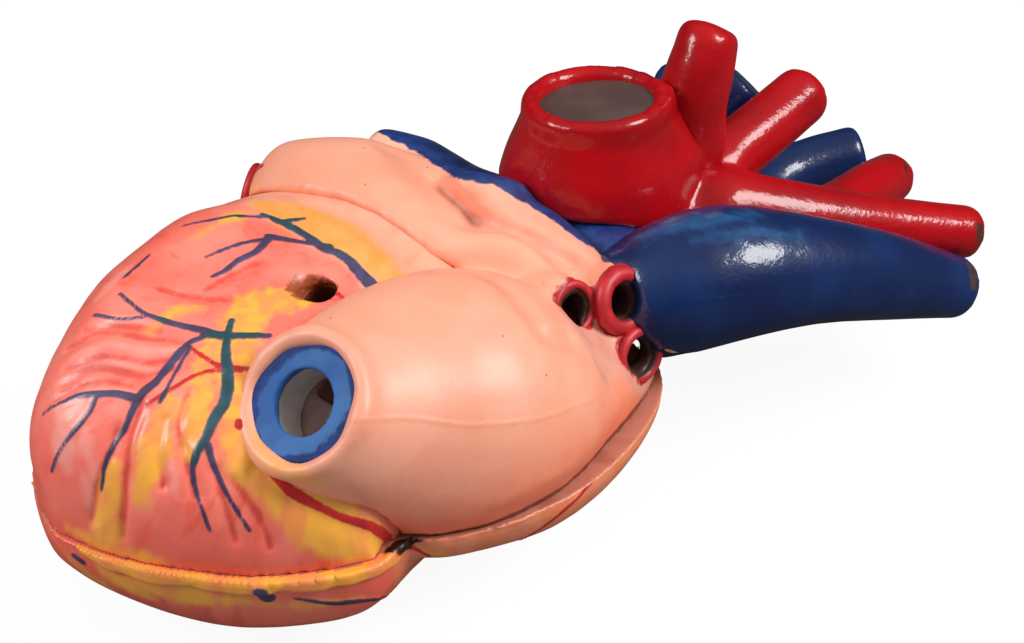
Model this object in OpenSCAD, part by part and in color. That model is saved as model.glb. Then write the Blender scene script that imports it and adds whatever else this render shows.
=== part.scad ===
// Life-size human heart teaching model in two halves, lying on its front.
// +X runs from the apex to the great vessels, +Y is the heart's left side, +Z is its back.
// The origin is on the small flat that the front wall rests on.

/* [Heart body] */
// Length of the two ventricles from the apex to the vessel roots
ventricle_l = 104; // [96:1:116]
// Width of the ventricles across the heart
ventricle_w = 97; // [88:1:108]
// Height of the back half above the parting
back_h = 34.5; // [31:0.5:38]
// Height of the parting above the face that the model rests on
part_z = 28; // [26:0.5:31]
// Depth of the flat cut on the belly of the front wall
rest_cut = 1; // [0.6:0.1:1.6]
// How far the front wall's rim stands proud of the back half
rim_proud = 1.6; // [0.8:0.1:2.2]

/* [Vessels] */
// Diameter of the descending aorta at its cut end
aorta_d = 28.2; // [25:0.2:30]
// Depth of the closing disc in the end of the aorta
aorta_disc_t = 2; // [1.2:0.2:3]
// Diameter of the brachiocephalic trunk where it leaves the arch
trunk_d = 19; // [16:0.5:21]
// Diameter of the two upper arteries at the arch
artery_d = 15; // [13:0.5:16.5]
// Diameter of the superior vena cava beside the aorta
cava_d = 27.8; // [25:0.2:30]
// Diameter of the two brachiocephalic veins
brachial_vein_d = 13; // [11:0.5:14]
// Diameter of the right and left pulmonary arteries
pulmonary_d = 20; // [17:0.5:22]
// Outer diameter of a pulmonary vein stub
vein_d = 12; // [10.5:0.5:12.5]
// Wall of the hollow aorta and superior vena cava
vessel_wall = 4; // [3:0.5:5]
// Bore of a pulmonary vein stub
vein_bore = 6.6; // [5:0.2:8]

/* [Inferior vena cava] */
// Outer diameter of the sleeve
sleeve_d = 23; // [21:0.5:25]
// Bore of the sleeve
sleeve_bore = 15.5; // [13:0.5:18]
// Length of the sleeve
sleeve_l = 12; // [9:0.5:14]
// How far the sleeve stands out of its collar
sleeve_out = 1.2; // [0.4:0.2:2.4]

/* [Valves] */
// Outer diameter of the tricuspid valve's ring
tricuspid_d = 22; // [19:0.5:24]
// Outer diameter of the mitral valve's ring
mitral_d = 21; // [18:0.5:23]
// Outer diameter of the aortic valve's ring
aortic_d = 16; // [13:0.5:17]
// Outer diameter of the pulmonary valve's ring
pulmonic_d = 15; // [12:0.5:16]
// Height of each valve ring
ring_h = 4; // [3:0.5:5]
// Thickness of the valve leaflets
leaflet_t = 1; // [0.7:0.1:1.4]
// Length of the leaflets below their ring
leaflet_l = 9; // [7:0.5:11]
// Diameter of one tendinous cord
cord_d = 0.8; // [0.6:0.1:1.2]

/* [Fixings] */
// Diameter of a magnet
magnet_d = 6; // [5:0.5:7]
// Thickness of a magnet
magnet_t = 3; // [2:0.5:4]
// Diameter of a locating peg
peg_d = 4; // [3:0.5:5]
// Length of a locating peg
peg_l = 14; // [11:0.5:16]
// How far a locating peg stands out of the front wall
peg_out = 6; // [4:0.5:7]
// Outer diameter of the stand socket
socket_d = 10; // [9:0.5:11]
// Bore of the stand socket
socket_bore = 7; // [5:0.5:8]
// Depth of the stand socket
socket_l = 20; // [16:0.5:22]
// Thickness of the moulded lip over the stand socket
socket_lip = 3; // [2:0.2:4]

/* [Fits] */
// Gap between the two halves
part_gap = 0.4; // [0.3:0.05:0.6]
// Glue gap round a piece that is fixed in the model
glue_gap = 0.1; // [0.06:0.02:0.2]
// Radial clearance of a locating peg in the back half
peg_clearance = 0.15; // [0.1:0.05:0.25]

/* [Hidden] */

// The rows of points below are laid out for a heart of these sizes, and at() stretches them to the driving sizes.
LAYOUT_L = 104;
LAYOUT_W = 97;
LAYOUT_BACK = 34.5;
LAYOUT_PART = 28;
function at(p) = [
    p[0] * ventricle_l / LAYOUT_L,
    p[1] * ventricle_w / LAYOUT_W,
    p[2] < LAYOUT_PART ? p[2] * part_z / LAYOUT_PART : part_z + (p[2] - LAYOUT_PART) * back_h / LAYOUT_BACK];

// The moulded forms and their rooms widen with the heart, so their rows give radii at the layout's width.
GIRTH = 2 * ventricle_w / LAYOUT_W;

// The front wall ends at these planes on the side of the vessel roots.
ROOT = at([4, -6, 0]);
COVER_END_X = at([46, 0, 0])[0];

function cr(a, b, c, d, t) =
    0.5 * (2 * b + (c - a) * t + (2 * a - 5 * b + 4 * c - d) * t * t + (3 * b - a - 3 * c + d) * t * t * t);
function smooth(rows, n) = let (last = len(rows) - 1) concat(
    [for (i = [0:last - 1]) for (k = [0:n - 1])
        cr(i > 0 ? rows[i - 1] : 2 * rows[0] - rows[1], rows[i], rows[i + 1],
           i + 2 <= last ? rows[i + 2] : 2 * rows[last] - rows[last - 1], k / n)],
    [rows[last]]);
function unit(v) = v / norm(v);
function xyz(row) = [row[0], row[1], row[2]];

// Skin over rings of points, with flat ends
module skin(rings) {
    n = len(rings[0]);
    m = len(rings);
    polyhedron(
        [for (ring = rings) for (p = ring) p],
        concat(
            [[for (j = [0:n - 1]) j]],
            [for (i = [0:m - 2]) for (j = [0:n - 1]) each [
                [i * n + j, (i + 1) * n + j, (i + 1) * n + (j + 1) % n],
                [i * n + j, (i + 1) * n + (j + 1) % n, i * n + (j + 1) % n]]],
            [[for (j = [n - 1:-1:0]) (m - 1) * n + j]]));
}

// Round tube along rows of [x, y, z, share of the diameter]
module tube(rows, d = 2, steps = 2, sides = 20, ref = [0, 0, 1], grow = 0) {
    path = smooth([for (r = rows) concat(at(r), [r[3] * d / 2 + grow])], steps);
    last = len(path) - 1;
    skin([for (i = [0:last])
        let (t = unit(xyz(path[min(i + 1, last)]) - xyz(path[max(i - 1, 0)])),
             side = unit(cross(ref, t)), up = cross(t, side), r = path[i][3])
        [for (j = [0:sides - 1]) let (a = 360 * j / sides)
            xyz(path[i]) + r * (cos(a) * side + sin(a) * up)]]);
}

// Children's +Z turned to an azimuth and an elevation at a point
module place(p, azimuth, elevation) { translate(p) rotate([0, 90 - elevation, azimuth]) children(); }

// One moulding, taken as a single skin
module moulded() { resize([0, 0, 0]) children(); }

// ---- outer forms ----

function power(v, n) = sign(v) * pow(abs(v), 2 / n);
APEX_X = at([-81, 0, 0])[0];
// share of the length, centre across, shares of half width, back and front, squareness
VENTRICLE_ROWS = [
    [0.000, -14.5, 0.04, 0.05, 0.06, 2.0],
    [0.010, -14.0, 0.17, 0.26, 0.26, 2.0],
    [0.033, -12.5, 0.27, 0.45, 0.40, 2.0],
    [0.075, -11.0, 0.41, 0.65, 0.56, 2.0],
    [0.140, -9.3, 0.57, 0.80, 0.71, 2.1],
    [0.215, -7.6, 0.71, 0.90, 0.85, 2.2],
    [0.305, -6.0, 0.85, 0.94, 0.96, 2.2],
    [0.420, -3.5, 0.96, 0.99, 1.00, 2.3],
    [0.530, -2.0, 1.00, 1.00, 1.00, 2.3],
    [0.645, 2.5, 0.91, 0.96, 1.00, 2.3],
    [0.755, 6.0, 0.82, 0.87, 1.00, 2.3],
    [0.855, 4.0, 0.78, 0.72, 0.95, 2.2],
    [0.940, 4.0, 0.61, 0.49, 0.74, 2.1],
    [1.000, 3.5, 0.34, 0.20, 0.42, 2.0],
];
module ventricle_form(grow = 0, sides = 40) {
    front_h = part_z + rest_cut;
    skin([for (r = smooth(VENTRICLE_ROWS, 2))
        [for (j = [0:sides - 1]) let (a = 360 * j / sides, c = power(cos(a), r[5]), s = power(sin(a), r[5]))
            [APEX_X + ventricle_l * r[0],
             at([0, r[1], 0])[1] + (ventricle_w / 2 * r[2] + grow) * c,
             part_z + ((s > 0 ? back_h * r[3] : front_h * r[4]) + grow) * s]]]);
}

RIGHT_ATRIUM = [[-35, -39, 59.5, 12.4], [-33.1, -38, 57.4, 14.6], [-29, -36, 53.5, 17.4], [-20, -31, 47, 22.5],
    [-6, -26.5, 40.5, 26.5], [8, -22.5, 35, 25.5], [20, -18.5, 31, 19.5], [30, -14.5, 29.5, 15.5],
    [38, -11, 29, 11], [43, -9, 29, 6]];
module right_atrium_form(grow = 0) { tube(RIGHT_ATRIUM, GIRTH, 2, 28, grow = grow); }

// The front wall's cover over the right atrium stands proud of the dome.
ATRIAL_COVER = [[-19.5, -36, 29.5, 9], [-15, -36, 29.5, 12.8], [-9, -36, 29.5, 14.2], [-2, -34.5, 29.5, 15.5],
    [8, -31, 29, 17], [18, -26, 28.5, 16.6], [28, -20, 28.5, 14.8], [36, -14.8, 28.5, 11.8], [41.5, -11.2, 28.5, 7.6],
    [44.5, -9.5, 28.5, 3.5]];
module atrial_cover_form() { tube(ATRIAL_COVER, GIRTH, 2, 28); }

LEFT_ATRIUM = [[-17, 45, 43, 12], [-13, 41, 43, 15], [-5, 32, 43, 18.5], [6, 20, 43, 18.5], [16, 8, 42, 18],
    [26, -3, 40, 15.5], [33, -8.5, 38, 12.5], [38, -12, 36, 9]];
LEFT_VEIN_UPPER = [[-8, 36, 44, 1.8], [-14, 42, 45, 1.35], [-20, 46, 46, 0.95]];
LEFT_VEIN_LOWER = [[0, 36, 40, 1.8], [-1, 46, 38, 1.35], [-3, 54, 37.5, 0.95]];
RIGHT_VEINS = [
    [[19, -5, 44, 1.3], [21.8, -12.5, 48, 1], [25.3, -20.1, 51.7, 0.9]],
    [[31, -7, 43, 1.3], [32.8, -12.5, 46.6, 1.1], [36, -18.5, 49.5, 1.06]],
    [[31, -10, 34, 1.3], [34.4, -16.5, 36.6, 1.1], [37.9, -23.4, 38.8, 1.06]]];
LEFT_VEINS = [LEFT_VEIN_UPPER, LEFT_VEIN_LOWER];
module left_atrium_form(grow = 0) {
    tube(LEFT_ATRIUM, GIRTH, 2, 26, grow = grow);
    for (vein = concat(RIGHT_VEINS, LEFT_VEINS)) tube(vein, vein_d, 2, 16, grow = grow);
}

AORTA_ROOT = [[2, 4, 34, 0.88], [14, 5, 27, 0.94], [26, 8, 23, 1.02], [37, 13, 27, 1.12], [44.5, 18, 37, 1.2],
    [46, 20.5, 48, 1.24], [45.5, 20, 58, 1.2], [45.7, 21.5, 69, 1]];
module aorta_root_form(grow = 0) { tube(AORTA_ROOT, aorta_d, 2, 26, [1, 0, 0], grow); }
TRUNK = [[52, 16, 42, 1], [66, 10, 43, 0.93], [84, 6, 39, 0.8], [104, 5, 33, 0.64], [124, 4.5, 27.5, 0.53]];
TRUNK_BRANCH = [[85, 7, 37.5, 0.65], [98, 14.5, 33.5, 0.63], [109, 23, 30, 0.61], [118.5, 30.5, 26, 0.56]];
ARTERY_LOW = [[54, 17, 42, 1.05], [67, 20, 44, 0.93], [82, 26, 47, 0.82], [98, 34.5, 49.5, 0.76]];
ARTERY_HIGH = [[54, 20, 46, 1.1], [62, 22, 53, 1.02], [66.5, 23, 62, 0.97], [70, 24.5, 70, 0.9], [72.5, 26, 76.5, 0.7]];

CAVA = [[36, -7, 38, 0.7], [46, -12, 44, 0.95], [60, -13, 46, 1], [80, -12.5, 41.2, 0.785], [100, -8.5, 31.5, 0.64],
    [117.5, -4.5, 21.3, 0.46]];
BRACHIAL_RIGHT = [[76, -4, 34, 0.95], [80, 18, 23, 0.97], [88, 37, 20.5, 0.95], [101, 45.5, 21.5, 0.92], [117.5, 45, 23.5, 0.86]];
BRACHIAL_LEFT = [[76, -2, 32, 1], [73, 20, 20, 1], [74, 38, 26, 1], [79.5, 45, 37, 0.97], [90, 46, 47, 0.92]];
JUGULAR = [[75, 40, 30, 0.92], [73, 42, 44, 0.92], [72.5, 41, 56, 0.88]];

PULMONARY_BRANCHES = [[7, 50, 43, 0.8], [14, 42.5, 43.5, 0.85], [19.5, 30, 43, 0.9], [30, 17.5, 43, 0.92], [38, 6.5, 43.5, 0.92],
    [44, -4, 43, 0.88], [50, -21.5, 42, 0.75]];
PULMONARY_TRUNK = [[4, 5, 12.5, 1], [11, 15, 13, 1.06], [17, 28, 19, 1.12], [19, 35, 30, 1.1], [20, 32, 40, 0.95]];
module pulmonary_form(grow = 0) {
    tube(PULMONARY_BRANCHES, pulmonary_d, 2, 20, grow = grow);
    tube(PULMONARY_TRUNK, pulmonary_d, 2, 20, [1, 0, 0], grow);
}

// ---- the parting ----

// Room of the front half; with a gap it is what the back half keeps clear of
module front_room(gap = 0) {
    difference() {
        translate([-300, -300, gap > 0 ? -50 : 0])
            cube([300 + COVER_END_X + gap, 600, part_z - part_gap / 2 + gap + (gap > 0 ? 50 : 0)]);
        translate([ROOT[0] + gap, ROOT[1] + gap, -100]) cube([400, 400, 400]);
    }
}

// Only the front wall touches what the model lies on.
TABLE_GAP = 0.5;
module below_table() { translate([-300, -300, -100]) cube([600, 600, 100 + TABLE_GAP]); }

// ---- cavities ----

LEFT_VENTRICLE_ROOM = [[-66, -9, 33, 6], [-56, -1, 33.5, 12.5], [-42, 9, 35, 16.5], [-30, 16, 36, 18], [-20, 20, 38, 16.5]];
RIGHT_VENTRICLE_ROOM = [[-60, -25, 25, 6], [-50, -28, 24, 10], [-36, -29, 23, 14], [-22, -27, 23.5, 14.8], [-12, -20, 20, 12.5],
    [-3, -8, 15, 9], [8.5, 6, 12.8, 7.5]];
RIGHT_ATRIUM_ROOM = [[-26, -34.5, 51, 8], [-18, -31, 51, 9.5], [-8, -27, 50, 11.5], [4, -24, 45, 15], [16, -21, 38, 15],
    [27, -17, 34, 11], [34, -13, 33, 8], [41, -11, 39, 8], [50, -12, 44.5, 8]];
LEFT_ATRIUM_ROOM = [[-10, 36, 43, 6], [-3, 31, 43, 10], [6, 22, 43, 12], [14, 12, 43, 12], [24, 1, 42, 9], [31, -5, 41, 6]];
module left_ventricle_room(grow = 0) { tube(LEFT_VENTRICLE_ROOM, GIRTH, 2, 20, grow = grow); }
module right_ventricle_room(grow = 0) { tube(RIGHT_VENTRICLE_ROOM, GIRTH, 2, 20, grow = grow); }
module rooms() {
    left_ventricle_room();
    right_ventricle_room();
    tube(RIGHT_ATRIUM_ROOM, GIRTH, 2, 20);
    tube(LEFT_ATRIUM_ROOM, GIRTH, 2, 18);
    for (vein = concat(RIGHT_VEINS, LEFT_VEINS)) vein_bore_form(vein);
}
// The bore runs a little past both ends of its stub.
module vein_bore_form(vein) {
    first = vein[0];
    last = vein[len(vein) - 1];
    step = (last - vein[len(vein) - 2]) * 0.3;
    rows = concat([for (r = vein) [r[0], r[1], r[2], 1]], [[last[0] + step[0], last[1] + step[1], last[2] + step[2], 1]]);
    tube(rows, vein_bore, 1, 12);
}

// ---- valves: point, azimuth and elevation of each valve's outflow-to-inflow axis ----

TRICUSPID = at([-8, -27, 37]);
TRICUSPID_TURN = [0, 40];
MITRAL = at([-9, 24, 41]);
MITRAL_TURN = [25, 8];
AORTIC = at([-5, 5, 37]);
AORTIC_TURN = [4, -22];
PULMONIC = at([12, 10, 13]);
PULMONIC_TURN = [58, 6];
RING_WALL = 2.2;
// room over a valve's ring in its seat
SEAT_ROOM = 0.8;
module valve_seat(p, turn, d, below, above) {
    place(p, turn[0], turn[1]) {
        translate([0, 0, -below]) cylinder(h = below + ring_h / 2 + SEAT_ROOM, d = d + 2 * glue_gap, $fn = 48);
        cylinder(h = above, d = d - 2 * RING_WALL, $fn = 48);
    }
}
module valve_seats() {
    valve_seat(TRICUSPID, TRICUSPID_TURN, tricuspid_d, leaflet_l + 4, 9);
    valve_seat(MITRAL, MITRAL_TURN, mitral_d, leaflet_l + 5, 12);
    valve_seat(AORTIC, AORTIC_TURN, aortic_d, 11, 24);
    valve_seat(PULMONIC, PULMONIC_TURN, pulmonic_d, 7, 8);
}

// ---- pieces ----

module ring(d) {
    difference() {
        translate([0, 0, -ring_h / 2]) cylinder(h = ring_h, d = d, $fn = 48);
        translate([0, 0, -ring_h]) cylinder(h = 2 * ring_h, d = d - 2 * RING_WALL, $fn = 48);
    }
}
// Leaflets hang from the ring as a cone that slits divide
module inflow_valve(d, leaflets) {
    ring(d);
    top_d = d - 2 * RING_WALL + 0.6;
    tip_d = top_d * 0.5;
    difference() {
        translate([0, 0, -leaflet_l]) cylinder(h = leaflet_l, d1 = tip_d, d2 = top_d, $fn = 48);
        translate([0, 0, -leaflet_l - 0.01])
            cylinder(h = leaflet_l + 0.02, d1 = tip_d - 2 * leaflet_t, d2 = top_d - 2 * leaflet_t, $fn = 48);
        for (i = [0:leaflets - 1]) rotate([0, 0, 360 * i / leaflets])
            translate([0, -leaflet_t / 2, -leaflet_l - 1]) cube([d, leaflet_t, leaflet_l * 0.75 + 1]);
    }
}
// Three cusps close as a low dome
module outflow_valve(d) {
    ring(d);
    bore = d - 2 * RING_WALL + 0.6;
    rise = ring_h * 0.8;
    difference() {
        translate([0, 0, -ring_h / 2]) cylinder(h = rise, d1 = bore, d2 = bore * 0.3, $fn = 48);
        translate([0, 0, -ring_h / 2 - leaflet_t]) cylinder(h = rise, d1 = bore, d2 = bore * 0.3, $fn = 48);
        for (i = [0:2]) rotate([0, 0, 120 * i])
            translate([bore * 0.1, -leaflet_t / 4, -ring_h]) cube([bore * 0.33, leaflet_t / 2, 2 * ring_h]);
    }
}
module tricuspid_valve() { color("mistyrose") place(TRICUSPID, TRICUSPID_TURN[0], TRICUSPID_TURN[1]) inflow_valve(tricuspid_d, 3); }
module mitral_valve() { color("mistyrose") place(MITRAL, MITRAL_TURN[0], MITRAL_TURN[1]) inflow_valve(mitral_d, 2); }
module aortic_valve() { color("mistyrose") place(AORTIC, AORTIC_TURN[0], AORTIC_TURN[1]) outflow_valve(aortic_d); }
module pulmonary_valve() { color("mistyrose") place(PULMONIC, PULMONIC_TURN[0], PULMONIC_TURN[1]) outflow_valve(pulmonic_d); }

// Papillary muscles and cords, as [angle round the valve, distance from its axis, depth of the tip]
RIGHT_PAPILLARY = [[150, 7, 16], [210, 7, 16]];
LEFT_PAPILLARY = [[130, 7, 21], [230, 7, 21]];
CORD_ANGLES = [-24, -8, 8, 24];
CORD_SPREAD = 3.3;
TIP_R = 1.8;
function polar(r, a, z) = [r * cos(a), r * sin(a), z];
module papillary(muscle) {
    hull() {
        translate(polar(muscle[1], muscle[0], -muscle[2] - TIP_R)) cylinder(h = TIP_R, r = TIP_R, $fn = 16);
        translate(polar(muscle[1] + 14, muscle[0], -muscle[2] - 16)) sphere(4.2, $fn = 20);
    }
}
module rod_between(a, b, d) {
    v = b - a;
    translate(a) rotate([0, acos(v[2] / norm(v)), atan2(v[1], v[0])]) cylinder(h = norm(v), d = d, $fn = 16);
}
module cords(muscles, d) {
    edge_r = (d - 2 * RING_WALL + 0.6) * 0.25 - leaflet_t / 2;
    for (m = muscles) for (a = CORD_ANGLES)
        rod_between(
            polar(m[1], m[0], -m[2]) + polar(TIP_R - cord_d / 2, m[0] + CORD_SPREAD * a, cord_d / 2 + glue_gap),
            polar(edge_r, m[0] + a, -leaflet_l - cord_d / 2 - glue_gap), cord_d);
}
module right_papillary_muscles() {
    color("indianred") moulded() intersection() {
        place(TRICUSPID, TRICUSPID_TURN[0], TRICUSPID_TURN[1]) for (m = RIGHT_PAPILLARY) papillary(m);
        right_ventricle_room(-glue_gap);
        translate([-200, -200, part_z + part_gap / 2]) cube(400);
    }
}
module left_papillary_muscles() {
    color("indianred") moulded() intersection() {
        place(MITRAL, MITRAL_TURN[0], MITRAL_TURN[1]) for (m = LEFT_PAPILLARY) papillary(m);
        left_ventricle_room(-glue_gap);
        translate([-200, -200, part_z + part_gap / 2]) cube(400);
    }
}
module tricuspid_cords() { color("ivory") place(TRICUSPID, TRICUSPID_TURN[0], TRICUSPID_TURN[1]) cords(RIGHT_PAPILLARY, tricuspid_d); }
module mitral_cords() { color("ivory") place(MITRAL, MITRAL_TURN[0], MITRAL_TURN[1]) cords(LEFT_PAPILLARY, mitral_d); }

// Magnets and pegs stand in the thick parts of the rim.
MAGNETS = [at([-71.5, -13, 0]), at([2, -43.5, 0]), at([-26, 40, 0])];
PEGS = [at([-52, 24, 0]), at([-46, -44, 0])];
module magnets(z, d, t) { for (m = MAGNETS) translate([m[0], m[1], z]) cylinder(h = t, d = d, $fn = 32); }
module front_magnets() { color("silver") magnets(part_z - part_gap / 2 - magnet_t, magnet_d, magnet_t); }
module rear_magnets() { color("silver") magnets(part_z + part_gap / 2, magnet_d, magnet_t); }
module pegs(z, d, l) { for (p = PEGS) translate([p[0], p[1], z]) cylinder(h = l, d = d, $fn = 32); }
module locating_pegs() { color("lightgray") pegs(part_z - part_gap / 2 + peg_out - peg_l, peg_d, peg_l); }

module front_wall() {
    front_z = part_z - part_gap / 2;
    color("salmon") difference() {
        moulded() difference() {
            intersection() {
                union() { ventricle_form(rim_proud); atrial_cover_form(); right_atrium_form(0.5); }
                front_room();
            }
            rooms();
        }
        valve_seats();
        magnets(front_z - magnet_t - glue_gap, magnet_d + 2 * glue_gap, magnet_t + 1);
        pegs(front_z + peg_out - peg_l - glue_gap, peg_d + 2 * glue_gap, peg_l);
    }
}

module rear_ventricles() {
    rear_z = part_z + part_gap / 2;
    color("lightcoral") difference() {
        moulded() difference() {
            ventricle_form();
            front_room(part_gap);
            below_table();
            rooms();
        }
        valve_seats();
        stand_socket_room();
        sleeve_room();
        magnets(rear_z - 1, magnet_d + 2 * glue_gap, magnet_t + 1 + glue_gap);
        pegs(rear_z - 1, peg_d + 2 * peg_clearance, peg_out + 2);
    }
}

// The left atrium ends where the pulmonary trunk and the aorta pass it.
TRUNK_BED = [[17, 31, 30, 5], [21, 24, 32, 8], [25, 15, 34, 9], [31, 5, 38, 6]];
module trunk_bed() { tube(TRUNK_BED, GIRTH, 1, 16); }
module atria() {
    color("peachpuff") difference() {
        moulded() difference() {
            union() { right_atrium_form(); left_atrium_form(); }
            front_room(part_gap);
            translate([-300, -300, -300]) cube([600, 600, 300 + part_z + part_gap / 2]);
            ventricle_form(glue_gap);
            aorta_root_form(glue_gap);
            pulmonary_form(glue_gap);
            trunk_bed();
            rooms();
        }
        sleeve_room();
        valve_seats();
        magnets(part_z + part_gap / 2 - 1, magnet_d + 2 * glue_gap, magnet_t + 1 + glue_gap);
    }
}

// The inferior vena cava's sleeve looks back, down and to the right.
SLEEVE = at([-34.2, -38.6, 58.7]);
SLEEVE_TURN = [208, 44];
module sleeve_room() {
    place(SLEEVE, SLEEVE_TURN[0], SLEEVE_TURN[1]) translate([0, 0, sleeve_out - sleeve_l - glue_gap])
        cylinder(h = sleeve_l + 10, d = sleeve_d + 2 * glue_gap, $fn = 64);
}
module inferior_vena_cava() {
    color("steelblue") place(SLEEVE, SLEEVE_TURN[0], SLEEVE_TURN[1]) difference() {
        translate([0, 0, sleeve_out - sleeve_l]) cylinder(h = sleeve_l, d = sleeve_d, $fn = 64);
        translate([0, 0, -2 * sleeve_l]) cylinder(h = 4 * sleeve_l, d = sleeve_bore, $fn = 64);
    }
}

SOCKET = at([-23.2, -9, 60.5]);
SOCKET_TURN = [180, 65];
module stand_socket_room() {
    place(SOCKET, SOCKET_TURN[0], SOCKET_TURN[1]) {
        translate([0, 0, -socket_l - 2 - glue_gap])
            cylinder(h = socket_l - socket_lip + 2 + 2 * glue_gap, d = socket_d + 2 * glue_gap, $fn = 48);
        translate([0, 0, -socket_l]) cylinder(h = socket_l + 12, d = socket_bore + 0.4, $fn = 48);
    }
}
module stand_socket() {
    color("saddlebrown") place(SOCKET, SOCKET_TURN[0], SOCKET_TURN[1]) difference() {
        translate([0, 0, -socket_l - 2]) cylinder(h = socket_l + 2 - socket_lip, d = socket_d, $fn = 48);
        translate([0, 0, -socket_l]) cylinder(h = socket_l + 1, d = socket_bore, $fn = 48);
    }
}

DISC_TURN = [90, 76];
DISC = at(xyz(AORTA_ROOT[len(AORTA_ROOT) - 1]));
DISC_RIM = 1.6;
module aorta_end_disc() {
    color("dimgray") place(DISC, DISC_TURN[0], DISC_TURN[1])
        translate([0, 0, -aorta_disc_t - 0.5]) cylinder(h = aorta_disc_t, d = aorta_d - 2 * DISC_RIM, $fn = 64);
}
module aorta() {
    color("firebrick") moulded() difference() {
        union() {
            aorta_root_form();
            tube(TRUNK, trunk_d, 2, 18);
            tube(TRUNK_BRANCH, trunk_d, 2, 16);
            tube(ARTERY_LOW, artery_d, 2, 16);
            tube(ARTERY_HIGH, artery_d, 2, 16);
        }
        aorta_root_form(-vessel_wall);
        ventricle_form(glue_gap);
        pulmonary_form(glue_gap);
        front_room(part_gap);
        below_table();
        place(DISC, DISC_TURN[0], DISC_TURN[1]) translate([0, 0, -aorta_disc_t - 0.5 - glue_gap])
            cylinder(h = 10, d = aorta_d - 2 * DISC_RIM + 2 * glue_gap, $fn = 64);
        valve_seat(AORTIC, AORTIC_TURN, aortic_d, 11, 30);
        valve_seat(PULMONIC, PULMONIC_TURN, pulmonic_d, 7, 4);
    }
}
// The vena cava is hollow up to a solid end
module cava_room() {
    difference() {
        tube(CAVA, cava_d, 3, 20, grow = -vessel_wall);
        translate([at([106, 0, 0])[0], -200, -200]) cube(400);
    }
}
module vena_cava() {
    color("navy") moulded() difference() {
        union() {
            tube(CAVA, cava_d, 3, 24);
            tube(BRACHIAL_RIGHT, brachial_vein_d, 2, 16);
            tube(BRACHIAL_LEFT, brachial_vein_d, 2, 16);
            tube(JUGULAR, brachial_vein_d, 2, 14);
        }
        cava_room();
        rooms();
        aorta_root_form(glue_gap);
        tube(TRUNK, trunk_d, 2, 18, grow = glue_gap);
        tube(TRUNK_BRANCH, trunk_d, 2, 16, grow = glue_gap);
        pulmonary_form(glue_gap);
        right_atrium_form(glue_gap);
        left_atrium_form(glue_gap);
        ventricle_form(glue_gap);
        front_room(part_gap);
    }
}
module pulmonary_artery() {
    color("darkblue") difference() {
        moulded() difference() {
            pulmonary_form();
            ventricle_form(glue_gap);
            front_room(part_gap);
            below_table();
        }
        valve_seat(PULMONIC, PULMONIC_TURN, pulmonic_d, 7, 11);
    }
}

front_wall();
front_magnets();
locating_pegs();
rear_ventricles();
rear_magnets();
atria();
inferior_vena_cava();
stand_socket();
aorta();
aorta_end_disc();
vena_cava();
pulmonary_artery();
tricuspid_valve();
mitral_valve();
aortic_valve();
pulmonary_valve();
right_papillary_muscles();
left_papillary_muscles();
tricuspid_cords();
mitral_cords();
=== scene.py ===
# %% [markdown]
# # A life-size heart model in hand-painted PVC
# The real object is a classroom model: two PVC mouldings that close on three pairs of magnets, with valves
# and cords inside. It is painted by hand and lacquered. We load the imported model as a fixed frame, give each
# moulding an even skin of small faces, press creases and vessels into it, and paint it in layers as its
# maker does.

# %% Load the frame
import math

import bmesh
import bpy
import numpy as np
from mathutils import Matrix, Vector
from mathutils.bvhtree import BVHTree


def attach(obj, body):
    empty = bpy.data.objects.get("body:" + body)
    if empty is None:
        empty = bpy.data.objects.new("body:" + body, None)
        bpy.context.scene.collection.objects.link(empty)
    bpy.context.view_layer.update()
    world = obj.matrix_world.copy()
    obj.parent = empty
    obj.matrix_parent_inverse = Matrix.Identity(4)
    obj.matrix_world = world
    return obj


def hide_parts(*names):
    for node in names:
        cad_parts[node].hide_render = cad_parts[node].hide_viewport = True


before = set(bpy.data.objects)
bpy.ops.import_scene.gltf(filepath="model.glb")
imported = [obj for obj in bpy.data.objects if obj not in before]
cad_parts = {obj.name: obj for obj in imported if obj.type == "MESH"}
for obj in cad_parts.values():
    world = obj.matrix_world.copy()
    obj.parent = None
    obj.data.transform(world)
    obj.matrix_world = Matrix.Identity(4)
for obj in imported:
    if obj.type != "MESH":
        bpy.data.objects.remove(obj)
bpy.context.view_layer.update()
scene = bpy.context.scene
MM = 0.001

# %% [markdown]
# ## The camera
# The photograph was taken from above the heart's right side with a long lens. The camera comes first,
# because the painted vessels are placed by the photograph's pixels: a ray through a pixel meets the moulding
# where the brush did.

# %% Camera
PHOTO_WIDTH = 1024
PHOTO_HEIGHT = 643
FOCAL_PIXELS = 3500
SENSOR = 36.0
CAMERA_TURN = math.radians(-20)
CAMERA_RISE = math.radians(38)
CAMERA_DISTANCE = 0.7
LOOK_AT = np.array([0.020, 0.0, 0.035])

RIGHT = np.array([math.cos(CAMERA_TURN), math.sin(CAMERA_TURN), 0.0])
BACK = np.array([math.sin(CAMERA_TURN) * math.cos(CAMERA_RISE),
                 -math.cos(CAMERA_TURN) * math.cos(CAMERA_RISE),
                 math.sin(CAMERA_RISE)])
UP = np.cross(BACK, RIGHT)
EYE = LOOK_AT + CAMERA_DISTANCE * BACK
PIXEL = CAMERA_DISTANCE / FOCAL_PIXELS

camera_data = bpy.data.cameras.new("photo_camera")
camera_data.sensor_width = SENSOR
camera_data.sensor_fit = "HORIZONTAL"
camera_data.lens = SENSOR * FOCAL_PIXELS / PHOTO_WIDTH
camera_data.clip_start = 0.01
camera = bpy.data.objects.new("photo_camera", camera_data)
scene.collection.objects.link(camera)
camera.matrix_world = Matrix([(RIGHT[i], UP[i], BACK[i], EYE[i]) for i in range(3)] + [(0, 0, 0, 1)])
scene.camera = camera


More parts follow.
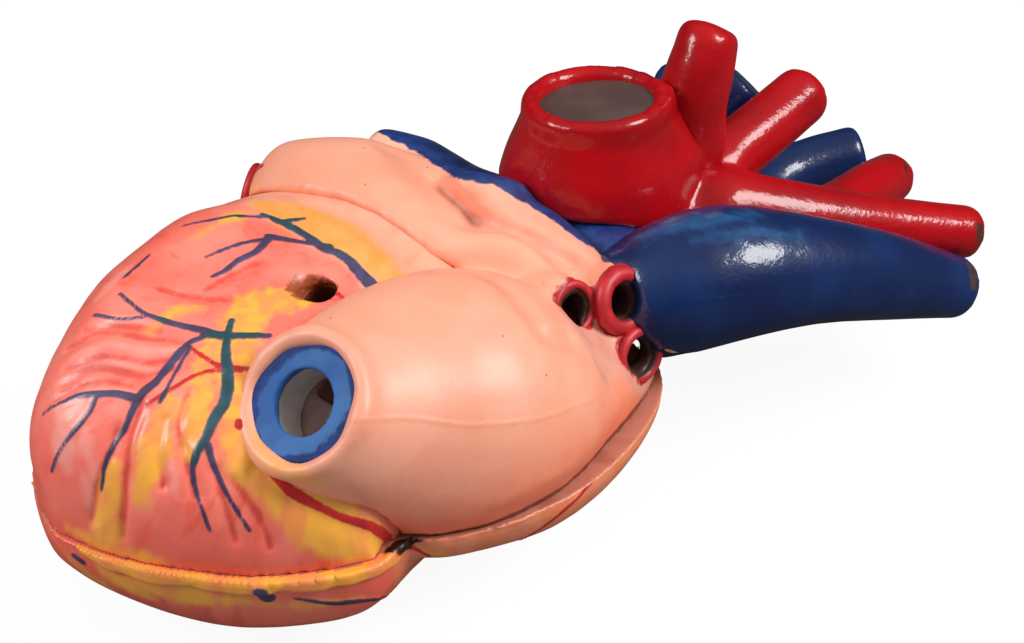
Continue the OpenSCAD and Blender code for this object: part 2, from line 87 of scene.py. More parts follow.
def pixels_of(points):
    """Where points in space fall in the photograph, as columns of x and y."""
    d = points - LOOK_AT
    depth = CAMERA_DISTANCE - d @ BACK
    return np.stack([PHOTO_WIDTH / 2 + FOCAL_PIXELS * (d @ RIGHT) / depth,
                     PHOTO_HEIGHT / 2 - FOCAL_PIXELS * (d @ UP) / depth], axis=1)


def ray_through(x, y):
    """The way from the camera's eye through a pixel of the photograph."""
    ray = (x - PHOTO_WIDTH / 2) * RIGHT - (y - PHOTO_HEIGHT / 2) * UP - FOCAL_PIXELS * BACK
    return ray / np.linalg.norm(ray)


print(f"camera lens {camera_data.lens:.1f} mm at {CAMERA_DISTANCE * 1000:.0f} mm")

# %% [markdown]
# ## An even skin
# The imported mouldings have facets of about 5 mm. A voxel remesh at about half a millimetre gives faces small
# enough to carry a brush stroke's edge. The facets are then relaxed away, except near the parting, the lung
# veins' stubs and the sleeve's mouth, which stay crisp. What the averaging takes away is averaged too and
# added back, so that vessels keep their size.

# %% Skins
PART_Z = 28 * MM
RELAX_STEPS = 60
WELD_NEAR = 0.002 * MM


def smoothstep(low, high, value):
    """An eased share that goes from 0 at low to 1 at high."""
    t = np.clip((value - low) / (high - low), 0, 1)
    return t * t * (3 - 2 * t)


def places(piece):
    """A skin's points, in metres."""
    out = np.empty(len(piece.data.vertices) * 3)
    piece.data.vertices.foreach_get("co", out)
    return out.reshape(-1, 3)


def move_to(piece, points):
    piece.data.vertices.foreach_set("co", points.ravel())
    piece.data.update()


def normals(piece):
    out = np.empty(len(piece.data.vertices) * 3, dtype=np.float32)
    piece.data.vertex_normals.foreach_get("vector", out)
    return out.reshape(-1, 3).astype(float)


def skin_of(node, voxel, name, add_form=None):
    """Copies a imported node, with a form added, as one even skin of faces about a voxel wide."""
    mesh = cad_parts[node].data.copy()
    mesh.materials.clear()
    piece = bpy.data.objects.new(name, mesh)
    scene.collection.objects.link(piece)
    if add_form:
        add_form(piece)
    weld = piece.modifiers.new("weld", "WELD")
    weld.merge_threshold = WELD_NEAR
    remesh = piece.modifiers.new("remesh", "REMESH")
    remesh.mode = "VOXEL"
    remesh.voxel_size = voxel
    plain = bpy.data.meshes.new_from_object(piece.evaluated_get(bpy.context.evaluated_depsgraph_get()))
    piece.modifiers.clear()
    piece.data = plain
    plain.name = name
    plain.polygons.foreach_set("use_smooth", [True] * len(plain.polygons))
    return piece


def averaged(piece, points, steps):
    """Averages every point with its neighbours, steps times."""
    move_to(piece, points)
    smooth = piece.modifiers.new("smooth", "SMOOTH")
    smooth.factor, smooth.iterations = 1.0, steps
    shown = piece.evaluated_get(bpy.context.evaluated_depsgraph_get())
    out = np.empty(len(points) * 3)
    shown.data.vertices.foreach_get("co", out)
    piece.modifiers.clear()
    return out.reshape(-1, 3)


def relax(piece, weight, steps=RELAX_STEPS):
    """Smooths a skin where weight is 1 and leaves it where weight is 0."""
    points = places(piece)
    smooth = averaged(piece, points, steps)
    smooth += averaged(piece, points - smooth, steps)
    move_to(piece, points + weight[:, None] * (smooth - points))


def off_parting(points, near=0.3 * MM, far=2.5 * MM):
    """0 on the faces where the halves meet, 1 away from them."""
    return smoothstep(near, far, np.abs(points[:, 2] - PART_Z))


def finish_piece(piece, body, node, material):
    """Paints a skin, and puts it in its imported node's place on its body."""
    piece.data.materials.clear()
    piece.data.materials.append(material)
    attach(piece, body)
    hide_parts(node)
    print(piece.name, len(piece.data.polygons), "faces")


# %% [markdown]
# ## Strokes
# One idea serves for both the modeller's tool and the painter's brush: a route over the surface with a
# width. The distance of every point of the skin from that route says how deep the tool pressed, or whether
# the paint covers it. Routes are read off the photograph, or given in millimetres where the photograph
# doesn't look. Larger patches of paint are outlines drawn on the photograph.

# %% Routes, strokes and outlines
FAR_OFF = -8 * MM
# The thinnest stroke that the skins' faces can carry, in mm
THINNEST = 0.8


def curve_through(points, step, closed=False):
    """Points about a step apart on a smooth curve through the given points."""
    p = np.array(points, dtype=float)
    p = np.vstack([p[-1], p, p[:2]]) if closed else np.vstack([2 * p[0] - p[1], p, 2 * p[-1] - p[-2]])
    out = []
    for a, b, c, d in zip(p, p[1:], p[2:], p[3:]):
        n = max(1, int(round(np.linalg.norm(c - b) / step)))
        for t in np.arange(n) / n:
            out.append(0.5 * (2 * b + (c - a) * t + (2 * a - 5 * b + 4 * c - d) * t ** 2
                              + (3 * b - a - 3 * c + d) * t ** 3))
    return np.array(out + [p[-2]])


def tree_of(*pieces):
    """A search tree over the faces of one or more pieces."""
    corners, faces = [], []
    for piece in pieces:
        start = len(corners)
        corners += [v.co for v in piece.data.vertices]
        faces += [[start + i for i in p.vertices] for p in piece.data.polygons]
    return BVHTree.FromPolygons(corners, faces)


def on_surface(tree, pixels, step=4):
    """Follows a route of pixels over the surface that the camera sees."""
    found = []
    for x, y in curve_through(pixels, step):
        hit = tree.ray_cast(Vector(EYE), Vector(ray_through(x, y)))[0]
        if hit is not None:
            found.append(hit)
    return np.array(found)


def near_surface(tree, points_mm, step=1.0):
    """Follows a route given in millimetres over the nearest surface."""
    return np.array([tree.find_nearest(Vector(p * MM))[0] for p in curve_through(points_mm, step)])


def inside_stroke(points, route, widths_mm):
    """How far each point lies inside the edge of a stroke in metres, negative outside it."""
    best = np.full(len(points), FAR_OFF)
    if len(route) < 2:
        return best
    half = np.interp(np.linspace(0, 1, len(route)), np.linspace(0, 1, len(widths_mm)), widths_mm) * MM / 2
    reach = half.max() - FAR_OFF
    close = np.all((points > route.min(0) - reach) & (points < route.max(0) + reach), axis=1)
    p = points[close]
    inner = best[close]
    for a, b, wa, wb in zip(route, route[1:], half, half[1:]):
        ab = b - a
        t = np.clip((p - a) @ ab / max(ab @ ab, 1e-12), 0, 1)
        inner = np.maximum(inner, wa + t * (wb - wa) - np.linalg.norm(p - a - t[:, None] * ab, axis=1))
    best[close] = inner
    return best


def inside_outline(points, facing, outline, least=-0.2):
    """How far each point that faces the camera lies inside an outline drawn on the photograph, in metres."""
    pixels = pixels_of(points)
    edge = curve_through(outline, 6, closed=True)
    distance = np.full(len(points), 1e9)
    within = np.zeros(len(points), dtype=bool)
    for a, b in zip(edge, edge[1:]):
        ab = b - a
        t = np.clip((pixels - a) @ ab / max(ab @ ab, 1e-12), 0, 1)
        distance = np.minimum(distance, np.linalg.norm(pixels - a - t[:, None] * ab, axis=1))
        crosses = (a[1] > pixels[:, 1]) != (b[1] > pixels[:, 1])
        if b[1] != a[1]:
            within ^= crosses & (pixels[:, 0] < a[0] + (pixels[:, 1] - a[1]) * ab[0] / ab[1])
    signed = np.where(within, distance, -distance) * PIXEL
    return np.where(facing > least, signed, FAR_OFF)


def push(piece, amount):
    """Moves every point of the skin along its normal by its own amount in metres."""
    move_to(piece, places(piece) + normals(piece) * amount[:, None])


def bead(inner, width):
    """A round ridge's share of its height, from the distance inside a stroke's edge."""
    return 0.5 - 0.5 * np.cos(np.pi * np.clip(2 * inner / width, 0, 1))


def press(piece, route, width_mm, height_mm):
    """Raises a round ridge along a route, or sinks a valley if height is negative."""
    push(piece,
         bead(inside_stroke(places(piece), route, [width_mm, width_mm]), width_mm * MM) * height_mm * MM)


def lift(piece, route, width_mm, height_mm):
    """Fills a sharp valley along a route, most at the route itself, or cuts one if height is negative."""
    share = np.clip(2 * inside_stroke(places(piece), route, [width_mm, width_mm]) / (width_mm * MM), 0,
                    1) ** 2
    move_to(piece, places(piece) + share[:, None] * height_mm * MM * BACK)


def strokes(piece, tree, seen, hidden=(), load=1.0):
    """The distance inside the nearest edge of a set of strokes, seen and hidden from the camera."""
    points = places(piece)
    routes = [(on_surface(tree, route), widths) for route, widths in seen]
    routes += [(near_surface(tree, route), widths) for route, widths in hidden]
    return np.max([inside_stroke(points, route, np.maximum(load * np.array(widths), THINNEST))
                   for route, widths in routes], axis=0)


def store(piece, name, values):
    """Keeps a value for each point of the skin, for its material to read."""
    made = piece.data.attributes.get(name) or piece.data.attributes.new(name, "FLOAT", "POINT")
    made.data.foreach_set("value", np.ascontiguousarray(values, dtype=np.float32))


def direction(turn, rise):
    """A unit vector from an azimuth and an elevation in degrees."""
    turn, rise = math.radians(turn), math.radians(rise)
    return np.array([math.cos(turn) * math.cos(rise), math.sin(turn) * math.cos(rise), math.sin(rise)])


def along_and_out(points, centre, axis):
    """Each point's distance along an axis from its centre, and its distance out from the axis."""
    d = points - centre
    along = d @ axis
    return along, np.linalg.norm(d - along[:, None] * axis, axis=1)


# %% [markdown]
# ## Paint
# Everything outside is the same job: a coat of colour, other colours brushed over it, and a clear lacquer.
# So one function builds the material from a list of layers. Each layer covers the skin where its stored
# distance is positive, and noise of a bristle's size makes its edge ragged. Colours are written as the usual
# hex values and turned to linear light.

# %% Paint
# The colour sockets of a Mix node: the amount, the colour under, the colour over, and the result
AMOUNT, UNDER, OVER, MIXED = 0, 6, 7, 2
EASED = {"interpolation_type": "SMOOTHSTEP"}


def colour(hex_value):
    """A hex colour as linear light."""
    parts = [int(hex_value[i:i + 2], 16) / 255 for i in (1, 3, 5)]
    return tuple(c / 12.92 if c <= 0.04045 else ((c + 0.055) / 1.055) ** 2.4 for c in parts) + (1.0,)


def add(tree, kind, inputs=None, output=0, **settings):
    """Adds a node with its settings, links or sets its inputs, and gives one of its outputs."""
    made = tree.nodes.new(kind)
    for name, value in settings.items():
        setattr(made, name, value)
    for name, value in (inputs or {}).items():
        if isinstance(value, bpy.types.NodeSocket):
            tree.links.new(value, made.inputs[name])
        else:
            made.inputs[name].default_value = colour(value) if isinstance(value, str) else value
    return made.outputs[output]


def layer(field, first, second=None, soft=0.3, ragged=0.4, grain=1.6, strength=1.0):
    """One coat of paint: where it goes, its two colours, and its edge's softness and wobble in mm."""
    return {"field": field, "colours": (first, second or first), "soft": soft * MM, "ragged": ragged * MM,
            "grain": grain * MM, "strength": strength}


# %% One material for every finish
# Sizes of the patterns: the ground's mottle, a brush's streak, a coat's thick and thin patches, the
# bristles' marks and the moulding's waves, and the pinholes with the areas that have them
MOTTLE, STREAK, PATCH, BRISTLE, WAVE = 14 * MM, 2.6 * MM, 3.5 * MM, 0.9 * MM, 3.2 * MM
PINHOLE_SPACING, PINHOLE_AREA = 4.5 * MM, 9 * MM
# The muscle's fibres fade in between these distances from the fan's centre. Along them the noise is drawn
# out, because distance counts only by this share.
FIBRES_FROM, FIBRES_TO, FIBRE_DRAW = 20 * MM, 36 * MM, 0.3


def painted_pvc(name, ground, shade, layers=(), fibres=False, streak_shade=None, roughness=0.35, lacquer=0.6,
                satin=0.14, bristles=0.05, pinholes=False, gleam=0.5, metallic=0.0):
    """Paint on PVC under lacquer: a mottled ground and its coats. Bare plastics and steel have no coats."""
    material = bpy.data.materials.new(name)
    material.use_nodes = True
    tree = material.node_tree
    shader = tree.nodes["Principled BSDF"]
    where = add(tree, "ShaderNodeTexCoord", output="Object")
    if fibres:
        fan_x, fan_y, reach = [add(tree, "ShaderNodeAttribute", output="Fac", attribute_name=field)
                               for field in ("fan_x", "fan_y", "reach")]
        drawn = add(tree, "ShaderNodeMath", {0: reach, 1: FIBRE_DRAW}, operation="MULTIPLY")
        fan_way = add(tree, "ShaderNodeCombineXYZ", {"X": fan_x, "Y": fan_y, "Z": drawn})
        far_enough = add(tree, "ShaderNodeMapRange",
                         {"Value": reach, "From Min": FIBRES_FROM, "From Max": FIBRES_TO}, **EASED)

    def grain(size):
        """Noise of a size, drawn out along the muscle's fibres where there are any."""
        plain = add(tree, "ShaderNodeTexNoise", {"Vector": where, "Scale": 1 / size, "Detail": 3})
        if not fibres:
            return plain
        fanned = add(tree, "ShaderNodeTexNoise", {"Vector": fan_way, "Scale": 1 / size, "Detail": 3})
        return add(tree, "ShaderNodeMix", {0: far_enough, 2: plain, 3: fanned}, data_type="FLOAT")

    cloudy = add(tree, "ShaderNodeTexNoise", {"Vector": where, "Scale": 1 / MOTTLE, "Detail": 3})
    mottle = add(tree, "ShaderNodeMapRange", {"Value": cloudy, "From Min": 0.38, "From Max": 0.66}, **EASED)
    paint = add(tree, "ShaderNodeMix", {AMOUNT: mottle, UNDER: ground, OVER: shade}, MIXED, data_type="RGBA")
    if streak_shade:
        streaks = add(tree, "ShaderNodeMapRange",
                      {"Value": grain(STREAK), "From Min": 0.53, "From Max": 0.75}, **EASED)
        paint = add(tree, "ShaderNodeMix", {AMOUNT: streaks, UNDER: paint, OVER: streak_shade}, MIXED,
                    data_type="RGBA")
    for coat in layers:
        wobble = add(tree, "ShaderNodeMath", {0: grain(coat["grain"]), 1: 0.5}, operation="SUBTRACT")
        inside = add(tree, "ShaderNodeAttribute", output="Fac", attribute_name=coat["field"])
        edge = add(tree, "ShaderNodeMath", {0: wobble, 1: 3 * coat["ragged"], 2: inside},
                   operation="MULTIPLY_ADD")
        cover = add(tree, "ShaderNodeMapRange",
                    {"Value": edge, "From Min": -coat["soft"], "From Max": coat["soft"]}, **EASED)
        amount = add(tree, "ShaderNodeMath", {0: cover, 1: coat["strength"]}, operation="MULTIPLY")
        patches = add(tree, "ShaderNodeMapRange",
                      {"Value": grain(PATCH), "From Min": 0.42, "From Max": 0.62}, **EASED)
        thick, thin = coat["colours"]
        brushed = add(tree, "ShaderNodeMix", {AMOUNT: patches, UNDER: thick, OVER: thin}, MIXED,
                      data_type="RGBA")
        paint = add(tree, "ShaderNodeMix", {AMOUNT: amount, UNDER: paint, OVER: brushed}, MIXED,
                    data_type="RGBA")
    if pinholes:
        from_dot = add(tree, "ShaderNodeTexVoronoi", {"Vector": where, "Scale": 1 / PINHOLE_SPACING})
        off_dot = add(tree, "ShaderNodeMapRange", {"Value": from_dot, "From Min": 0.05, "From Max": 0.075},
                      **EASED)
        dot = add(tree, "ShaderNodeMath", {0: 1.0, 1: off_dot}, operation="SUBTRACT")
        area = add(tree, "ShaderNodeTexNoise", {"Vector": where, "Scale": 1 / PINHOLE_AREA})
        chosen = add(tree, "ShaderNodeMapRange", {"Value": area, "From Min": 0.55, "From Max": 0.6}, **EASED)
        faint = add(tree, "ShaderNodeMath", {0: chosen, 1: 0.75}, operation="MULTIPLY")
        amount = add(tree, "ShaderNodeMath", {0: dot, 1: faint}, operation="MULTIPLY")
        paint = add(tree, "ShaderNodeMix", {AMOUNT: amount, UNDER: paint, OVER: "#8A5540"}, MIXED,
                    data_type="RGBA")
    tree.links.new(paint, shader.inputs["Base Color"])
    waves = add(tree, "ShaderNodeTexNoise", {"Vector": where, "Scale": 1 / WAVE, "Detail": 3})
    relief = add(tree, "ShaderNodeMath", {0: grain(BRISTLE), 1: 0.6, 2: waves}, operation="MULTIPLY_ADD")
    bump = add(tree, "ShaderNodeBump", {"Height": relief, "Strength": 1.0, "Distance": bristles * MM})
    tree.links.new(bump, shader.inputs["Normal"])
    tree.links.new(bump, shader.inputs["Coat Normal"])
    for socket, value in {"Roughness": roughness, "Coat Weight": lacquer, "Coat Roughness": satin,
                          "Specular IOR Level": gleam, "Metallic": metallic}.items():
        shader.inputs[socket].default_value = value
    return material


# %% [markdown]
# ## The walls of the ventricles
# Both halves of the ventricles wear the same muscle: ridges that fan out from below the stand's socket,
# salmon paint, yellow fat in the grooves, and slate-blue veins over all. The fan is given by two coordinates
# round an axis through the surface there, so that ridges, streaks and bristle marks all run the same way.

# %% The muscle's fan
VOXEL = 0.6 * MM
FAN_PIXEL = (318, 345)
FAN_RADIUS = 30 * MM
# The ridges' count round the fan, their start in radians and their height in mm
RIDGES = [(26, 0.5, 0.16), (43, 2.1, 0.12), (69, 4.0, 0.06)]
RIDGE_START, RIDGE_END = 14 * MM, 62 * MM
# How the ridges wander: by how many radians, and over what length
RIDGE_WANDER, RIDGE_WAVE = 1.6, 9 * MM

back_walls = skin_of("rear_ventricles", VOXEL, "back_walls")
relax(back_walls, off_parting(places(back_walls)))
front_shell = skin_of("front_wall", VOXEL, "front_shell")
relax(front_shell, off_parting(places(front_shell)) * smoothstep(0, 1.2 * MM, places(front_shell)[:, 2]))

back_tree = tree_of(back_walls)
FAN_CENTRE = on_surface(back_tree, [FAN_PIXEL, FAN_PIXEL])[0]
FAN_AXIS = direction(-110, 62)
FAN_SIDE = np.cross(FAN_AXIS, RIGHT)
FAN_SIDE /= np.linalg.norm(FAN_SIDE)
FAN_FRONT = np.cross(FAN_SIDE, FAN_AXIS)


def fan_of(points):
    """The fan's angle at each point, and the point's distance from the fan's centre."""
    d = points - FAN_CENTRE
    return np.arctan2(d @ FAN_SIDE, d @ FAN_FRONT), np.linalg.norm(d, axis=1)


def raise_ridges(piece, strength):
    """Raises the fan of muscle ridges, fading near its centre and wherever strength is 0."""
    angle, reach = fan_of(places(piece))
    height = sum(size * np.sin(count * angle + start + RIDGE_WANDER * np.sin(reach / RIDGE_WAVE + count))
                 for count, start, size in RIDGES)
    push(piece, height * MM * smoothstep(RIDGE_START, 2 * RIDGE_START, reach)
         * smoothstep(RIDGE_END, RIDGE_START, reach) * strength)


def store_fan(piece):
    """Keeps the fan's two coordinates for the fibres in the paint."""
    angle, reach = fan_of(places(piece))
    store(piece, "fan_x", FAN_RADIUS * np.cos(angle))
    store(piece, "fan_y", FAN_RADIUS * np.sin(angle))
    store(piece, "reach", reach)


# %% Chambers, as routes in millimetres with their widths
CHAMBERS = [
    ([(-66, -9, 33), (-56, -1, 33.5), (-42, 9, 35), (-30, 16, 36), (-20, 20, 38)], (14, 27, 35, 38, 35)),
    ([(-60, -25, 25), (-50, -28, 24), (-36, -29, 23), (-22, -27, 23.5), (-12, -20, 20), (-3, -8, 15),
      (8.5, 6, 12.8)], (14, 22, 30, 31.6, 27, 20, 17)),
    ([(-26, -34.5, 51), (-8, -27, 50), (4, -24, 45), (16, -21, 38), (27, -17, 34), (50, -12, 44.5)],
     (18, 25, 32, 32, 24, 18)),
    ([(-10, 36, 43), (-3, 31, 43), (6, 22, 43), (14, 12, 43), (24, 1, 42), (31, -5, 41)],
     (14, 22, 26, 26, 20, 14))]
# The reddish paint inside reaches this much beyond a chamber's bore, in mm
CHAMBER_SKIN = 2.5
# How far the paint closes the 0.4 mm gap between the halves
SEAM_GAP = 0.3 * MM


def inside_chambers(points):
    """How far each point lies inside the chambers."""
    return np.max([inside_stroke(points, curve_through(route, 2) * MM, np.array(widths) + CHAMBER_SKIN)
                   for route, widths in CHAMBERS], axis=0)


# %% The lower vena cava's mouth, and what is seen through it
SLEEVE_CENTRE = np.array([-34.2, -38.6, 58.7]) * MM
SLEEVE_AXIS = direction(208, 44)
SLEEVE_RADIUS = 12 * MM
SIGHT_RADIUS = 11 * MM


def through_sleeve(points):
    """How far a point lies inside what the camera sees through the sleeve's bore."""
    along, out = along_and_out(points, SLEEVE_CENTRE, BACK)
    return np.minimum(np.where(along < -3 * MM, SIGHT_RADIUS - out, FAR_OFF),
                      inside_chambers(points) + 0.5 * MM)


# %% [markdown]
# The routes below are pixels of the photograph, with the stroke's widths in millimetres from its start to
# its end. Hidden routes, on the sides that the photograph doesn't show, are in millimetres too.

# %% Vessels and fat on the back wall
VEINS = [
    ([(120, 294), (134, 306), (147, 315), (174, 324), (204, 331), (222, 336), (270, 336)],
     (0.4, 1.1, 1.5, 0.9)),
    ([(95, 315), (118, 319), (142, 318)], (0.3, 0.7)),
    ([(232, 321), (228, 335), (226, 354), (228, 380), (225, 402), (214, 420), (206, 439), (198, 450),
      (193, 471), (197, 493), (204, 514), (210, 530)], (0.9, 1.4, 1.9, 1.6, 1.1, 0.7, 0.4)),
    ([(208, 445), (214, 466), (228, 495), (249, 530)], (1.2, 0.8, 0.4)),
    ([(204, 337), (187, 345), (171, 364), (158, 380), (142, 394), (134, 407), (126, 426), (115, 445),
      (106, 463), (102, 490)], (0.9, 1.3, 1.4, 1.0, 0.9, 0.5)),
    ([(137, 399), (118, 394), (102, 394), (78, 396), (54, 407), (43, 415)], (1.4, 1.2, 0.8, 0.3)),
    ([(96, 399), (88, 415), (72, 434), (59, 453), (52, 471)], (0.9, 0.7, 0.3)),
    ([(262, 215), (288, 226), (310, 239), (325, 250), (336, 253), (350, 262), (360, 274), (370, 284)],
     (0.8, 1.3, 1.5, 1.7, 2.4)),
    ([(286, 222), (304, 219)], (1.0, 0.7)),
    ([(184, 226), (208, 221), (232, 217), (249, 217), (262, 218)], (0.4, 0.8, 0.9)),
    ([(269, 237), (280, 239), (304, 243), (330, 247)], (1.6, 1.0, 1.0)),
    ([(270, 238), (256, 252), (238, 261), (225, 271), (212, 277)], (1.3, 1.1, 0.4)),
    ([(206, 257), (238, 245), (262, 240)], (0.3, 0.9)),
    ([(124, 278), (139, 265), (150, 255)], (0.6, 0.3)),
    ([(160, 402), (176, 372), (190, 348)], (0.2, 0.5))]
HIDDEN_VEINS = [
    ([(-16, 46, 46), (-34, 40, 42), (-52, 28, 38), (-68, 12, 34)], (1.4, 1.2, 0.5)),
    ([(-34, 40, 42), (-44, 38, 35), (-50, 36, 30)], (1.0, 0.4))]
RED_ARTERIES = [
    ([(187, 346), (205, 358), (222, 367), (250, 370)], (0.5, 1.1, 1.2)),
    ([(240, 371), (215, 371), (193, 377), (170, 390), (147, 404)], (1.0, 1.0, 0.8, 0.5)),
    ([(240, 424), (244, 424)], (2.2, 2.2)),
    ([(272, 473), (283, 484), (295, 493), (315, 504), (335, 514), (355, 521), (375, 528), (396, 546)],
     (1.4, 2.6, 1.6, 1.8, 2.4)),
    ([(300, 288), (322, 284), (345, 300)], (0.5, 1.0))]
FAT_STROKES = [
    ([(246, 210), (290, 222), (340, 245), (385, 268)], (1.5, 3, 3)),
    ([(296, 300), (262, 303), (246, 318), (238, 345)], (6, 9, 7)),
    ([(216, 338), (205, 352)], (3, 2)),
    ([(205, 352), (200, 400), (192, 455)], (2, 6.5, 3)),
    ([(238, 345), (240, 400), (254, 462)], (8, 9, 10)),
    ([(246, 440), (272, 480), (300, 506), (345, 528), (388, 545)], (5, 9, 11, 10, 6)),
    ([(262, 500), (320, 540), (380, 552)], (1.5, 6, 5)),
    ([(174, 402), (154, 440), (140, 495)], (3, 6.5, 4)),
    ([(114, 466), (110, 505), (106, 542)], (2, 5, 6)),
    ([(70, 530), (120, 552), (200, 572), (300, 576), (388, 556)], (1, 2.5, 2.5, 3, 3)),
    ([(150, 330), (175, 312), (200, 306)], (0.5, 1.2, 0.5)),
    ([(190, 240), (215, 226), (240, 214)], (0.5, 1.6, 2))]
WRINKLES = [
    [(68, 348), (101, 333), (142, 338), (183, 343)], [(66, 368), (107, 356), (152, 363), (188, 353)],
    [(61, 384), (96, 368), (142, 376), (173, 369)], [(56, 399), (91, 381), (132, 386)],
    [(86, 330), (120, 326), (160, 331)], [(163, 419), (158, 450), (163, 486)],
    [(188, 394), (178, 424), (188, 465), (196, 496)], [(142, 404), (130, 445), (124, 496), (122, 537)],
    [(234, 481), (259, 516), (270, 547)], [(216, 470), (224, 500), (236, 540)],
    [(118, 430), (100, 480), (92, 520)],
    [(262, 262), (230, 276), (205, 290)], [(230, 300), (196, 298), (160, 290)]]
# Widths of the deeper red along the wrinkles: painted shade in their creases, partly a darker paint
WRINKLE_WIDTHS = (0.4, 1.1, 1.3, 0.4)
# Lighter pink strokes between the wrinkles and on the left flank: painted sheen, partly a paler paint
PALE_AND_SHEEN_STROKES = [
    ([(72, 358), (105, 344), (145, 350), (183, 349)], (0.8, 1.8, 1.0)),
    ([(68, 377), (100, 361), (150, 370)], (0.8, 1.6, 0.8)),
    ([(92, 322), (125, 318), (150, 324)], (0.8, 2.0, 1.0)),
    ([(60, 408), (92, 390), (135, 394)], (0.8, 1.4, 0.8)),
    ([(96, 300), (110, 285), (130, 266)], (1, 3, 1)),
    ([(58, 410), (62, 440), (70, 470)], (2, 5, 3)),
    ([(84, 425), (88, 455), (98, 480)], (1, 3.6, 2)),
    ([(75, 455), (88, 490), (96, 520)], (0.8, 2.2, 1)),
    ([(168, 440), (172, 470), (178, 500)], (0.6, 1.6, 0.6))]
BACK_CREASES = [(route, 3.6, -0.95) for route in WRINKLES] + [
    ([(262, 470), (300, 500), (350, 524), (395, 548)], 8, -0.8)]
BACK_MOULD_LINE = ([(130, 510), (230, 495), (285, 475)], 0.8, 0.12)
ATRIAL_SEAM = [(252, 197), (300, 199), (340, 203), (372, 212), (390, 223), (406, 233), (422, 244),
               (438, 258)]
ATRIAL_FOOT = [(258, 204), (290, 213), (325, 227), (358, 247), (384, 268), (400, 285)]
# The join of the two mouldings is filled and painted over: the fill's width and height in mm
SEAM_LIFT = (22, 2.8)
ATRIAL_FOOT_OUTLINE = [(243, 203), (262, 214), (288, 228), (314, 243), (340, 257), (358, 276), (372, 292),
                       (430, 300), (500, 270), (450, 200), (340, 165), (255, 170)]
BRUSH_LOAD = 1.3
# The left flank bulges, and the atria's foot rolls out over the muscle: a route, a width and a height in mm
FLANK_ROUTE, FLANK_WIDTH, FLANK_BULGE = [(190, 240), (150, 272), (115, 312), (86, 360), (62, 412)], 44, 3.4
FOOT_ROLL = (16, 1.0)
FOOT_REACH = 13 * MM
JUNCTION_HOLLOW = [(388, 551), (400, 545), (417, 538)]
SOCKET_CENTRE = np.array([-23.2, -9, 60.5]) * MM
SOCKET_AXIS = direction(180, 65)
SOCKET_BORE, SOCKET_DEPTH = 4.1 * MM, 9 * MM
# How thick vessels and fat stand on the wall
VEIN_RAISED, ARTERY_RAISED, FAT_RAISED = 0.3 * MM, 0.35 * MM, 0.12 * MM
# The wall's paint turns a deeper red below this height: painted shade, partly a deeper paint
LOWER_RED_AND_SHADE_Z = 33 * MM
CUT_FACE_Z = PART_Z + 0.28 * MM

# %% Shape the back wall
chamber = inside_chambers(places(back_walls))
outside = smoothstep(0.5 * MM, -0.5 * MM, chamber)
raise_ridges(back_walls, outside * off_parting(places(back_walls), 0.5 * MM, 5 * MM))
flank = inside_stroke(places(back_walls), on_surface(back_tree, FLANK_ROUTE), (FLANK_WIDTH, FLANK_WIDTH))
push(back_walls, FLANK_BULGE * MM * bead(flank, FLANK_WIDTH * MM) * outside
     * off_parting(places(back_walls), 0.5 * MM, 9 * MM))
back_tree = tree_of(back_walls)
for route, width, height in BACK_CREASES + [BACK_MOULD_LINE]:
    press(back_walls, on_surface(back_tree, route), width, height)
foot_route = on_surface(back_tree, ATRIAL_FOOT)
press(back_walls, foot_route, *FOOT_ROLL)
rear_tree = tree_of(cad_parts["rear_ventricles"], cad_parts["atria"])
seam_route = on_surface(rear_tree, ATRIAL_SEAM)
lift(back_walls, seam_route, *SEAM_LIFT)
from_foot = np.maximum(inside_stroke(places(back_walls), foot_route, (0, 0)), -FOOT_REACH)
relax(back_walls, smoothstep(-FOOT_REACH, -4 * MM, from_foot) * off_parting(places(back_walls)), 30)
back_tree = tree_of(back_walls)
vein_distance = strokes(back_walls, back_tree, VEINS, HIDDEN_VEINS, BRUSH_LOAD)
artery_distance = strokes(back_walls, back_tree, RED_ARTERIES)
fat_distance = strokes(back_walls, back_tree, FAT_STROKES)
crease_red_and_shade = strokes(back_walls, back_tree, [(route, WRINKLE_WIDTHS) for route in WRINKLES])
push(back_walls, VEIN_RAISED * smoothstep(-0.3 * MM, 0.5 * MM, vein_distance)
     + ARTERY_RAISED * smoothstep(-0.3 * MM, 0.6 * MM, artery_distance)
     + FAT_RAISED * smoothstep(-1 * MM, 1 * MM, fat_distance))
spots = places(back_walls)
spots[:, 2] -= SEAM_GAP * smoothstep(PART_Z + 1.2 * MM, PART_Z + 0.3 * MM, spots[:, 2])
move_to(back_walls, spots)

# %% Say where each coat goes on the back wall
along, out = along_and_out(spots, SOCKET_CENTRE, SOCKET_AXIS)
store(back_walls, "veins", vein_distance)
store(back_walls, "fat_veins", np.minimum(vein_distance, fat_distance + 0.6 * MM))
store(back_walls, "foot", inside_outline(spots, normals(back_walls) @ BACK, ATRIAL_FOOT_OUTLINE, -0.6))
store(back_walls, "foot_blush", inside_stroke(spots, on_surface(back_tree, ATRIAL_FOOT), (4, 8, 11, 9, 6)))
store(back_walls, "low", LOWER_RED_AND_SHADE_Z - spots[:, 2])
store(back_walls, "arteries", artery_distance)
store(back_walls, "fat", fat_distance)
store(back_walls, "deep", crease_red_and_shade)
store(back_walls, "pale_paint_and_sheen", strokes(back_walls, back_tree, PALE_AND_SHEEN_STROKES))
store(back_walls, "inside", inside_chambers(spots))
store(back_walls, "cut_face", CUT_FACE_Z - spots[:, 2])
store(back_walls, "socket_stain", np.where(along > -SOCKET_DEPTH, SOCKET_BORE - out, FAR_OFF))
store(back_walls, "view", through_sleeve(spots))
store(back_walls, "hollow", inside_stroke(spots, on_surface(back_tree, JUNCTION_HOLLOW), (2.6, 4.4, 3.0)))
store_fan(back_walls)

